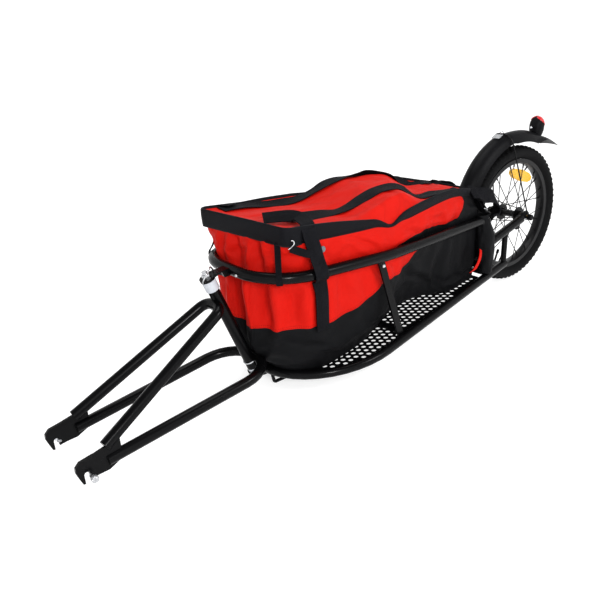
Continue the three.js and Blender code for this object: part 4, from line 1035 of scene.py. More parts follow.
def roll(ahead, up, top):
    """The swell of the rolled cloth along the rear half of the wall's top"""
    foot = read_line(SEAM, ahead)
    share = (up - foot) / max(1, top - foot)
    if not 0 < share < 1:
        return 0.0
    along = limited((ahead - 309) / 22) * limited((640 - ahead) / 90)
    below_binding = limited((top - 21 - up) / 16)
    return 9 * math.sqrt(along) * below_binding * math.sin(math.pi * share) ** 0.7


# Operators


class TRAILER_OT_stage(bpy.types.Operator):
    """Adds the studio floor, soft lights and the camera"""

    bl_idname = "trailer.stage"
    bl_label = "Stage"

    FLOOR_RADIUS, FLOOR_DROP, WORLD_STRENGTH = 9, 0.0004, 0.25
    # The floor's edge is drawn up into a round wall: how far up each step goes and how much it widens
    WALL_STEPS = ((0.15, 1.09), (0.6, 1.09), (1.2, 1.06), (2.0, 1.03), (6.0, 1.02))
    # Each lamp's power, size, place and the place that it looks at
    LAMPS = {
        "overhead": (20, 1.4, (0.3, 0.3, 2.2), (0, 0, 0.1)),
        "side": (22, 0.8, (1.2, -2.2, 1.7), (-0.1, 0, 0.2)),
        "front": (26, 0.5, (-1.15, -2.1, 1.25), (-0.3, 0, 0.2)),
    }
    # The camera of the photo, as it was fitted to the wheel, the floor and the frame
    EYE, AIM, ROLL = (-1.1288, -1.2380, 0.8091), (-0.1945, 0, 0.1691), 0.071
    SENSOR_WIDTH, FOCAL_LENGTH, SIGHT = 36, 42.64, 200

    def execute(self, context):
        context.scene.view_settings.view_transform = "Standard"
        context.scene.view_settings.look = "Medium High Contrast"
        self.floor()
        world = bpy.data.worlds.new("studio")
        world.use_nodes = True
        backdrop = world.node_tree.nodes["Background"]
        backdrop.inputs["Color"].default_value = (1, 1, 1, 1)
        backdrop.inputs["Strength"].default_value = self.WORLD_STRENGTH
        context.scene.world = world
        for name, (power, size, place, aim) in self.LAMPS.items():
            data = bpy.data.lights.new(name, "AREA")
            data.energy, data.size = power, size
            lamp = bpy.data.objects.new(name, data)
            lamp.location = place
            lamp.rotation_euler = (Vector(aim) - Vector(place)).to_track_quat("-Z", "Y").to_euler()
            context.collection.objects.link(lamp)
        context.scene.camera = self.camera(context)
        return {"FINISHED"}

    def floor(self):
        """A wide round floor whose edge sweeps up into a wall"""
        clear_selection()
        bpy.ops.mesh.primitive_circle_add(
            vertices=96, radius=self.FLOOR_RADIUS, fill_type="NGON", location=(0, 0, -self.FLOOR_DROP)
        )
        floor = named("studio_floor_plane")
        edit_chosen(floor, lambda edge: True, "edges")
        for rise, grow in self.WALL_STEPS:
            bpy.ops.mesh.extrude_edges_move(TRANSFORM_OT_translate={"value": (0, 0, rise)})
            bpy.ops.transform.resize(value=(grow, grow, 1))
        leave_edit()
        smooth(floor, 40)
        bpy.ops.object.transform_apply(location=True, rotation=True, scale=True)
        floor.data.materials.append(material("studio_floor"))

    def camera(self, context):
        data = bpy.data.cameras.new("photo_view")
        data.sensor_fit = "HORIZONTAL"
        data.sensor_width, data.lens, data.clip_end = self.SENSOR_WIDTH, self.FOCAL_LENGTH, self.SIGHT
        camera = bpy.data.objects.new("photo_view", data)
        eye = Vector(self.EYE)
        view = (Vector(self.AIM) - eye).normalized()
        level = view.cross(Vector((0, 0, 1))).normalized()
        rise = level.cross(view)
        right = level * math.cos(self.ROLL) - rise * math.sin(self.ROLL)
        turned = Matrix((right, right.cross(view), -view)).transposed().to_4x4()
        camera.matrix_world = Matrix.Translation(eye) @ turned
        context.collection.objects.link(camera)
        return camera


def slot_of(node):
    """The material slot that the record gives a node"""
    return next(part["material_slot"] for part in frame["record"]["subparts"] if part["node"] == node)


class TRAILER_OT_finishes(bpy.types.Operator):
    """Gives every piece of the frame the finish of its slot"""

    bl_idname = "trailer.finishes"
    bl_label = "Finishes"

    def execute(self, context):
        for part in frame["record"]["subparts"]:
            knurled = part["node"].startswith("lock_pin")
            finish = "knurled_zinc" if knurled else SLOT_FINISH[part["material_slot"]]
            data = bpy.data.objects[part["node"]].data
            data.materials.clear()
            data.materials.append(material(finish))
        return {"FINISHED"}


class TRAILER_OT_round_parts(bpy.types.Operator):
    """Copies the frame's round parts with their edges merged, so that they shade as round tubes"""

    bl_idname = "trailer.round_parts"
    bl_label = "Round parts"

    # Each node with the angle in degrees under which its edges shade smooth
    NODES = {
        "upper_hoop": 42, "floor_frame": 42, "fork_upper": 42, "fork_lower": 42, "steering_tube": 42,
        "guard_front": 32, "guard_rear": 32, "rear_stay_left": 42, "rear_stay_right": 42,
        "rear_strut_left": 42, "rear_strut_right": 42, "top_collar": 34, "lower_bush": 34, "tube_ring": 34,
        "hub_barrel": 34, "rim": 32, "axle_cap_left": 34, "axle_cap_right": 34, "lock_barrel_left": 34,
        "lock_barrel_right": 34, "guard_wire": 60, "nose_skid": 50, "floor_cross_bar": 42,
    }

    def execute(self, context):
        for node, degrees in self.NODES.items():
            source = bpy.data.objects[node]
            piece = bpy.data.objects.new(f"{node}_finished", source.data.copy())
            context.collection.objects.link(piece)
            edit_all(piece)
            bpy.ops.mesh.customdata_custom_splitnormals_clear()
            bpy.ops.mesh.remove_doubles(threshold=0.00002)
            bpy.ops.mesh.tris_convert_to_quads(face_threshold=0.35, shape_threshold=0.7)
            leave_edit()
            slot = slot_of(node)
            dressed(smooth(piece, degrees), SLOT_FINISH[slot], source["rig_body"], replaces=(node,))
        return {"FINISHED"}


class TRAILER_OT_lamp(bpy.types.Operator):
    """Makes the tail lamp's rounded body with its red lens over the top and rear"""

    bl_idname = "trailer.lamp"
    bl_label = "Tail lamp"

    FOOT, HEIGHT, LEAN, SQUARENESS = 413, 54.5, -3, 2.6
    # Share of the height, half width, front and rear
    LEVELS = (
        (0, 15.5, -91, -121), (0.12, 17.5, -89, -125), (0.35, 19.4, -88.6, -127.6),
        (0.55, 19.6, -89.4, -127), (0.72, 18, -91.4, -124.4), (0.85, 14.4, -94.6, -120),
        (0.94, 9.6, -98.4, -115), (1, 2, -104.5, -109),
    )

    def spot(self, share, turn, proud=0.0):
        """A place on the lamp's surface at a share of its height and a turn from its front"""
        half, front, rear = (from_table(self.LEVELS, share, k) for k in (1, 2, 3))
        across, along = math.sin(turn), math.cos(turn)
        squared = (abs(across) ** self.SQUARENESS + abs(along) ** self.SQUARENESS) ** (-1 / self.SQUARENESS)
        middle_ahead = (front + rear) / 2 + self.LEAN * share
        depth = (front - rear) / 2 + proud
        return at(middle_ahead - along * squared * depth,
                  across * squared * (half + proud), self.FOOT + share * (self.HEIGHT + proud))

    def execute(self, context):
        shares = [1 - (1 - k / 22) ** 1.5 for k in range(23)]
        rows = [[self.spot(share, math.tau * k / 40) for k in range(40)] for share in shares]
        body = grid("lamp_body", rows, closed=True, capped=(0, 22))
        edit_all(body)
        facing_outwards()
        dressed(smooth(body, 50), "moulded_black", replaces=("lamp_housing",))
        patch = []
        for k in range(17):
            share = mixed(0.5, 0.995, k / 16)
            reach = math.radians(mixed(58, 168, (k / 16) ** 1.4))
            patch.append([self.spot(share, -reach + 2 * reach * i / 24, 0.9) for i in range(25)])
        lens = grid("lamp_lens_cover", patch)
        modified(lens, "SOLIDIFY", thickness=0.0014, offset=0)
        bevelled(lens, 0.0004, 60)
        dressed(smooth(lens, 50), "lens_plastic", replaces=("lamp_lens",))
        return {"FINISHED"}


class TRAILER_OT_bag(bpy.types.Operator):
    """Makes the bag's wall as a lofted shell of cloth that settles between its rim, hoop and floor"""

    bl_idname = "trailer.bag"
    bl_label = "Bag"

    # Folds: start and end as distance along the wall from the middle of its front and height, width, depth
    FOLDS = (
        ((-20, 372), (-14, 286), 13, 16), ((12, 372), (6, 296), 11, 9), ((50, 368), (60, 290), 13, 19),
        ((88, 366), (80, 318), 11, 8), ((-66, 360), (-62, 300), 13, 8), ((-104, 350), (-100, 300), 13, 7),
        ((-15, 290), (-17, 140), 15, 17), ((60, 290), (76, 180), 14, 18), ((96, 270), (86, 160), 14, -13),
        ((-62, 275), (-72, 160), 14, 9), ((132, 262), (138, 160), 11, 9), ((24, 280), (34, 180), 13, -10),
        ((300, 346), (360, 300), 10, 5), ((350, 262), (392, 205), 12, 5), ((420, 330), (520, 296), 9, 4),
        ((560, 322), (640, 300), 9, 4), ((480, 200), (560, 140), 13, 4), ((640, 210), (610, 120), 13, 5),
        ((700, 240), (690, 130), 12, 6), ((250, 300), (262, 240), 12, 4), ((236, 250), (300, 190), 10, 4),
        ((-300, 340), (-360, 300), 10, 5), ((-350, 262), (-392, 205), 12, 5),
        ((-560, 322), (-640, 300), 9, 4), ((-640, 210), (-610, 120), 13, 5),
        ((-250, 300), (-262, 240), 12, 4),
    )

    # How far the underside hangs clear of the floor sheet at each place ahead
    LIFT = ((360, 0), (395, 8), (430, 26), (470, 40), (510, 46), (552, 40), (590, 26), (635, 12), (690, 0))
    # The rings of the underside, as shares of its outline, draw in to one place ahead
    UNDERSIDE_SHARES, UNDERSIDE_MIDDLE = (0.97, 0.85, 0.7, 0.55, 0.4, 0.25, 0.1), 560
    SHEET_GAP, HOOP_GUARD_GAP, CLOTH_STEPS = 1.6, 0.0012, 26
    # How near the hoop and the rim hold the wall, over what height it comes loose, and how far it swells
    HOOP_REACH, RIM_REACH, LOOSENING, PLUMP, RIPPLE = 22, 34, 16, 5, 3.2

    def execute(self, context):
        rows, seams, alongs, held = [], [], [], []
        for level in [0, 0.02] + [0.05 + 0.95 * k / 40 for k in range(41)]:
            loop = bag_loop(level)
            front = min(range(len(loop)), key=lambda k: abs(loop[k][1]) if loop[k][0] > 800 else 1e9)
            path = [0.0]
            for here, following in zip(loop, loop[1:]):
                path.append(path[-1] + math.dist(here, following))
            row = []
            for k, (ahead, left) in enumerate(loop):
                top = rim_height(ahead, left)
                up = mixed(self.foot(ahead, left), top, level)
                near_hoop = bell(up - hoop_height(ahead), self.HOOP_REACH)
                loose = min(1, level * 6) * limited((top - self.RIM_REACH - up) / self.LOOSENING)
                loose *= 1 - 0.75 * near_hoop
                swell = noise.noise(Vector((ahead / 130, left / 130, up / 90)))
                along = path[front] - path[k]
                ripple = noise.noise(Vector((along / 34, 5.0, up / 60)))
                push = loose * self.folded(along, up) + self.PLUMP * loose * (0.6 + 0.4 * swell)
                push += self.RIPPLE * loose * ripple
                push += (1 - near_hoop) * roll(ahead, up, top)
                out = outward(loop, k)
                ahead, left = ahead + out.x * push, left + out.y * push
                ahead = self.clear_of_guard(ahead, left, up)
                row.append(at(ahead, left, up))
                seams.append(above_seam(ahead, left, up) / 1000)
                alongs.append(path[k] / 1000)
                held.append(min(1, max(near_hoop, 1 - min(1, level * 9), limited(1 - (top - 30 - up) / 14))))
            rows.append(row)
        outline = bag_loop(0)
        for share in self.UNDERSIDE_SHARES:
            ring = [(mixed(self.UNDERSIDE_MIDDLE, ahead, 0.35 + 0.65 * share), left * share)
                    for ahead, left in outline]
            rows.insert(0, [at(ahead, left, self.foot(ahead, left)) for ahead, left in ring])
        under = len(self.UNDERSIDE_SHARES) * len(outline)
        seams[:0], alongs[:0], held[:0] = [-0.1] * under, [0.0] * under, [1.0] * under
        wall = grid("bag_wall", rows, closed=True, capped=(0,))
        self.keep_clear(wall)
        self.settle(context, wall, held)
        self.keep_clear(wall)
        set_panel(wall, seams, alongs)
        dressed(cloth_shell(wall), "bag_cloth", replaces=("bag_body",))
        return {"FINISHED"}

    def folded(self, along, up):
        """How far the folds push the wall out, each a pleat with a groove beside it"""
        total = 0.0
        for (s0, z0), (s1, z1), width, depth in self.FOLDS:
            run = Vector((s1 - s0, z1 - z0))
            gone = Vector((along - s0, up - z0))
            share = gone.dot(run) / run.length_squared
            off = abs(gone.x * run.y - gone.y * run.x) / run.length
            if -0.4 < share < 1.4 and off < width * 4:
                fade = 1 if 0.15 < share < 0.85 else max(0, 1 - (abs(share - 0.5) - 0.35) * 2)
                total -= depth * (bell(off, width) - 0.45 * bell(off - width * 2, width)) * fade
        return total

    def foot(self, ahead, left):
        """The height of the bag's underside, which hangs clear of the floor sheet along its left"""
        share = limited(left / 88)
        lift = from_table(self.LIFT, ahead, 1) * share * share * (3 - 2 * share)
        return floor_height(ahead) + self.SHEET_GAP + lift

    def clear_of_guard(self, ahead, left, up):
        """Keeps the rear wall ahead of the mudguard and of the plate at its foot"""
        rise = up - WHEEL_UP
        need = math.sqrt(max(0, GUARD_ROOM * GUARD_ROOM - rise * rise)) if abs(rise) < GUARD_ROOM else 0
        kept = mixed(ahead, max(ahead, need), limited((50 - abs(left)) / 13))
        if up < 150:
            beside = limited((96 - abs(left)) / 10) * min(1, (150 - up) / 14)
            kept = mixed(kept, max(kept, 248), beside)
        return kept

    def keep_clear(self, wall):
        """Keeps the wall out of the hoop and of the plate at the mudguard's foot"""
        rails = surface_of("upper_hoop", "guard_plate")
        for vertex in wall.data.vertices:
            vertex.co = pushed_clear(vertex.co, rails, self.HOOP_GUARD_GAP)

    def settle(self, context, wall, held):
        """Lets the cloth, a little larger than its form, buckle between what holds it"""
        start = [v.co.copy() for v in wall.data.vertices]
        group = wall.vertex_groups.new(name="held")
        for k, weight in enumerate(held):
            group.add([k], weight, "REPLACE")
        modifier = wall.modifiers.new("settle", "CLOTH")
        cloth = modifier.settings
        cloth.quality = 5
        cloth.mass = 0.2
        cloth.tension_stiffness = cloth.compression_stiffness = 22
        cloth.shear_stiffness = 9
        cloth.bending_stiffness = 0.35
        cloth.vertex_group_mass = "held"
        cloth.pin_stiffness = 3
        cloth.shrink_min = cloth.shrink_max = -0.035
        cloth.use_pressure = True
        cloth.uniform_pressure_force = 0.35
        cloth.effector_weights.gravity = 0.35
        modifier.collision_settings.use_collision = False
        modifier.point_cache.frame_start, modifier.point_cache.frame_end = 1, self.CLOTH_STEPS
        for number in range(1, self.CLOTH_STEPS + 1):
            context.scene.frame_set(number)
        settled = wall.evaluated_get(context.evaluated_depsgraph_get())
        moved = [v.co.copy() for v in settled.data.vertices]
        wall.modifiers.remove(modifier)
        context.scene.frame_set(1)
        limit = sizes().fold_limit
        for vertex, first, last in zip(wall.data.vertices, start, moved):
            step = last - first
            if step.length > limit:
                step = step * (limit / step.length)
            vertex.co = first + step
        wall.vertex_groups.clear()


class TRAILER_OT_lid(bpy.types.Operator):
    """Makes the lid as one crowned sheet of cloth that sags inside the rim"""

    bl_idname = "trailer.lid"
    bl_label = "Lid"

    # The lid's own height with nothing under it, from the rear forward
    LEVEL = ((205, 318), (230, 324), (279, 338), (319, 343), (350, 346), (400, 348), (450, 352), (500, 357),
             (550, 361), (600, 364), (660, 367), (740, 371), (800, 377), (850, 384), (900, 390), (945, 394))

    # The lid's rings, as shares of its outline from the middle out, and the place that they draw in to
    RING_SHARES = (0.06, 0.12, 0.18, 0.24, 0.3, 0.36, 0.42, 0.48, 0.54, 0.6, 0.66, 0.72, 0.78, 0.83, 0.88,
                   0.92, 0.95, 0.975, 0.99, 1)
    MIDDLE = 585

    def execute(self, context):
        edge = bag_loop(1)
        rows = []
        for share in self.RING_SHARES:
            ring = [(mixed(self.MIDDLE, ahead, 0.2 + 0.8 * share), left * share) for ahead, left in edge]
            rows.append([at(ahead, left, self.height(ahead, left, 1 - share)) for ahead, left in ring])
        lid = grid("bag_lid_cloth", rows, closed=True, capped=(0,))
        if sum(face.normal.z for face in lid.data.polygons) < 0:
            lid.data.flip_normals()
        dressed(cloth_shell(lid), "lid_cloth", replaces=("bag_lid",))
        return {"FINISHED"}

    @classmethod
    def height(cls, ahead, left, inner):
        """The height of the lid's cloth: inner is 0 at its edge and 1 along its middle"""
        edge = rim_height(ahead, left) - 3
        rear_end = 457 + 0.67 * left
        packed = eased(limited((ahead - rear_end + 50) / 100) * limited((735 - ahead) / 165))
        level = from_table(cls.LEVEL, ahead, 1) + 37 * packed - 0.03 * left * packed
        calm = min(1, inner * 8)
        level += 4.0 * calm * noise.noise(Vector((ahead / 60, left / 34, 2.0)))
        level += 3.0 * calm * noise.noise(Vector((ahead / 210, left / 15, 7.0)))
        level -= 5 * calm * bell(ahead - 560 - left * 0.2, 16) * (left > 60)
        return mixed(edge, level, eased(min(1, inner / 0.17)))


def lid_point(ahead, left, lift=0.0):
    """A place on the lid's cloth"""
    inner = 1 - min(1, abs(left) / bag_top_half(ahead))
    return at(ahead, left, TRAILER_OT_lid.height(ahead, left, inner) + lift)


class TRAILER_OT_rim_binding(bpy.types.Operator):
    """Makes the wide black binding folded over the bag's rim"""

    bl_idname = "trailer.rim_binding"
    bl_label = "Rim binding"

    # The binding's height along each side as a share of its height at the front
    LEFT_SHARES = ((200, 0.4), (300, 0.42), (409, 0.54), (474, 0.6), (526, 0.58), (570, 0.5), (605, 0.22),
                   (632, 0.1), (672, 0.36), (730, 0.58), (789, 0.76), (860, 0.9), (930, 1.0))
    OTHER_SHARES = ((200, 0.5), (300, 0.42), (460, 0.5), (590, 0.4), (700, 0.68), (860, 0.9), (930, 1.0))
    THICKNESS = 0.0011

    def execute(self, context):
        loop = bag_loop(1)
        full = sizes().binding_height * 1000
        rows, marks, travelled = [], [], 0.0
        for k in [*range(len(loop)), 0]:
            ahead, left = loop[k]
            if rows:
                travelled += math.dist(loop[k], loop[k - 1]) / 1000
            out = outward(loop, k)
            drop = from_table(self.LEFT_SHARES if left > 60 else self.OTHER_SHARES, ahead, 1) * full
            top = rim_height(ahead, left)
            flare = 2.2 + 1.4 * noise.noise(Vector((travelled * 16, 3.0, 0)))
            section = (
                (-3.2, -min(drop, 13)), (-3.4, -min(drop, 6)), (-3.0, 0.5), (-0.8, 2.3), (1.4, 1.6),
                (flare, -1.5), (flare + 0.4, -drop * 0.35), (flare, -drop * 0.7), (1.6, -drop),
                (0.6, -drop - 0.4),
            )
            row = []
            for off, rise in section:
                level = 1 - max(0, -rise) / max(1, top - floor_height(ahead))
                off -= self.lean(ahead, left, level)
                row.append(at(ahead + out.x * off, left + out.y * off, top + rise))
            rows.append(row)
            marks += [(travelled, 1 - i / (len(section) - 1)) for i in range(len(section))]
        piece = grid("rim_binding", rows)
        set_weave(piece, marks)
        modified(piece, "SOLIDIFY", thickness=self.THICKNESS, offset=0)
        dressed(smooth(piece, 60), "binding_cloth")
        return {"FINISHED"}

    def lean(self, ahead, left, level):
        """How far the wall lies inside its top edge at a lower level"""
        if abs(left) <= 60 or ahead >= 900:
            return 0.0
        return max(-2.0, bag_half(ahead, 1) - bag_half(ahead, level))


class TRAILER_OT_handles(bpy.types.Operator):
    """Makes the two haul handles that lie along the lid"""

    bl_idname = "trailer.handles"
    bl_label = "Haul handles"

    # Places ahead, left of the middle and clear of the lid, for each side
    RUNS = {
        "left": (
            (868, 60, 5), (850, 59, 7), (830, 58, 9), (800, 57, 7), (760, 55, 6), (714, 54, 4), (680, 52, 3),
            (640, 52, 3), (600, 53, 3), (560, 54, 3), (530, 55, 3), (505, 56, 3), (486, 57, 3), (460, 57, 3),
            (432, 56, 3), (400, 55, 3), (376, 55, 3), (350, 53, 3), (319, 51, 3), (296, 50, 3),
        ),
        "right": (
            (920, -117, 3), (900, -117, 3), (860, -117, 3), (820, -117, 4), (780, -116, 4), (740, -114, 4),
            (700, -110, 3), (660, -105, 3), (624, -101, 3), (590, -98, 3), (557, -97, 4), (530, -97, 3),
            (500, -97, 2), (460, -96, 2), (420, -92, 2), (380, -84, 2), (345, -72, 3), (319, -62, 3),
            (296, -54, 3),
        ),
    }
    # The left handle's front end turns over here
    TWIST_AHEAD, TWIST_WIDTH, TWIST = 790, 45, 0.5

    def execute(self, context):
        for side, run in self.RUNS.items():
            points, facings = [], []
            for ahead, left, lift in run:
                points.append(lid_point(ahead, left, lift))
                slope = (lid_point(ahead, left + 12).z - lid_point(ahead, left - 12).z) / 0.024
                if left > 0:
                    slope -= self.TWIST * bell(ahead - self.TWIST_AHEAD, self.TWIST_WIDTH)
                facings.append(Vector((0, slope, 1)).normalized())
            piece = ribbon(f"haul_handle_{side}", points, facings, sizes().webbing_width, 5)
            dressed(piece, "strap_webbing", replaces=(f"handle_strap_{side}",))
        return {"FINISHED"}


class TRAILER_OT_tie_straps(bpy.types.Operator):
    """Makes the wide straps that hold the bag's front to the hoop"""

    bl_idname = "trailer.tie_straps"
    bl_label = "Tie straps"

    # The loose end that lies on the rim, in full on the left, then the run over the hoop and down the wall
    LOOSE_END = (
        (919, 45, 404, (0.3, 0.3, 0.9)), (905, 53, 404, (0.3, 0.3, 0.9)), (888, 63, 404, (0.3, 0.35, 0.9)),
        (870, 78, 404, (0.25, 0.4, 0.9)), (862, 96, 403, (0.1, 0.4, 0.9)),
    )
    RUN = (
        (866, 116, 400, (0, 0.2, 1)), (872, 132, 397.5, (0, 0.4, 1)), (878, 143.6, 391, (0, 1, 0.4)),
        (875, 146, 372, (0, 1, 0)), (869, 149, 348, (0, 1, 0)), (866, 153, 326, (0, 1, 0.1)),
        (865, 160, 308, (0, 1, 0.1)), (864, 163.6, 297, (0, 1, 0)), (863, 163.4, 286, (0, 1, -0.2)),
        (860, 156, 275.5, (0, 0.6, -0.8)), (856, 146.5, 271, (0, 0.3, -1)), (852, 141, 262, (0, 0.9, -0.3)),
        (848, 139.5, 240, (0, 1, 0)), (847, 138.5, 210, (0, 1, 0)), (847, 137, 182, (0, 1, 0)),
        (847, 134, 150, (0, 1, 0)),
    )
    WIDTH_SHARE, RIGHT_SHIFT, UNDER_HOOP = 0.9, 22, 262

    def execute(self, context):
        wall = surface_of("bag_wall")
        for side, sign in SIDES:
            run, shift = ((*self.LOOSE_END, *self.RUN), 0) if sign > 0 else (self.RUN, self.RIGHT_SHIFT)
            points = []
            for ahead, left, up, _ in run:
                point = at(ahead + shift, left * sign, up)
                points.append(outside_wall(point, wall, sign) if up < self.UNDER_HOOP else point)
            facings = [outer_face(look, sign) for *_, look in run]
            piece = ribbon(f"hoop_strap_{side}", points, facings, sizes().webbing_width * self.WIDTH_SHARE, 5)
            dressed(piece, "strap_webbing", replaces=(f"tie_strap_{side}",))
        return {"FINISHED"}


class TRAILER_OT_corner_straps(bpy.types.Operator):
    """Makes the narrow straps at the front corners, with their metal hooks and the grey snap"""

    bl_idname = "trailer.corner_straps"
    bl_label = "Corner straps"

    # Round the hoop: distance out from the corner's foot, up, and the way the face looks out and up
    RUN = ((-16, 372, 1, 0), (-9, 352, 1, 0), (-1, 330, 1, 0.1), (7, 313, 1, 0.4), (13.8, 303, 1, 0.4),
           (15, 295, 1, 0), (13, 286, 1, -0.6), (5, 281.4, 0.3, -1), (-6, 283.6, -0.6, -1),
           (-13, 291, -1, -0.3))
    FOOT, OUT = (944, 122), (0.643, 0.766)
    TAB = ((926, 143.5, 360, (0, 1, 0)), (912, 146, 352, (0, 1, 0)), (892, 149.5, 342, (0, 1, 0)),
           (878, 151.5, 337, (0, 1, 0)))
    HOOK, SNAP, RIGHT_SHIFT = (924, 147, 371), (846, 148, 339), 12

    def execute(self, context):
        width = sizes().narrow_width
        for side, sign in SIDES:
            shift = 0 if sign > 0 else self.RIGHT_SHIFT
            run = [(self.FOOT[0] + self.OUT[0] * reach, self.FOOT[1] + self.OUT[1] * reach, up,
                    (self.OUT[0] * level, self.OUT[1] * level, rise)) for reach, up, level, rise in self.RUN]
            narrow = strap(f"corner_strap_{side}", run, width, 5, sign)
            dressed(narrow, "strap_webbing")
            tab = strap(f"hook_tab_{side}", self.TAB, width * 1.25, 4, sign, shift)
            dressed(tab, "strap_webbing")
            for maker, kind, (ahead, left, up), finish, slot in (
                (self.hook, "rim_hook", self.HOOK, "zinc_plate", "bright_steel"),
                (self.snap, "grey_snap", self.SNAP, "moulded_grey", "black_plastic"),
            ):
                dressed(maker(f"{kind}_{side}", at(ahead + shift, left * sign, up), sign), finish)
        return {"FINISHED"}

    def hook(self, name, place, sign):
        """A bent wire hook: a torus cut open, with its shank drawn out and its tip turned"""
        clear_selection()
        bpy.ops.mesh.primitive_torus_add(
            major_radius=0.0085, minor_radius=0.0019, major_segments=28, minor_segments=10, location=(0, 0, 0)
        )
        piece = named(name)
        bpy.ops.object.mode_set(mode="EDIT")
        bpy.ops.mesh.select_all(action="SELECT")
        bpy.ops.mesh.bisect(plane_co=(0.001, 0, 0), plane_no=(0.9, -0.45, 0), clear_outer=True, use_fill=True)
        bpy.ops.mesh.select_all(action="DESELECT")
        edit = bmesh.from_edit_mesh(piece.data)
        cap = max((f for f in edit.faces if len(f.verts) > 4), key=lambda f: f.calc_center_median().y)
        cap.select = True
        bmesh.update_edit_mesh(piece.data)
        for shift in ((0.006, 0.001, 0), (0.006, -0.0005, 0), (0.005, -0.0025, 0)):
            bpy.ops.mesh.extrude_region_move(TRANSFORM_OT_translate={"value": shift})
        bpy.ops.transform.resize(value=(0.6, 0.6, 0.6))
        leave_edit()
        piece.data.transform(Matrix.Scale(0.66, 4))
        placed(piece, place, (0, -sign, 0), (-0.85, 0, -0.45))
        return smooth(piece, 50)

    def snap(self, name, place, sign):
        """A domed press stud with a rolled edge"""
        clear_selection()
        bpy.ops.mesh.primitive_cylinder_add(vertices=24, radius=0.0068, depth=0.003, location=(0, 0, 0))
        piece = named(name)
        edit_chosen(piece, looks_up)
        for inset, rise in ((0.0016, -0.0009), (0.0012, 0.0012)):
            bpy.ops.mesh.inset(thickness=inset)
            bpy.ops.transform.translate(value=(0, 0, rise))
        leave_edit()
        bevelled(piece, 0.0005)
        placed(piece, place, (0, -sign, 0))
        return smooth(piece, 40)


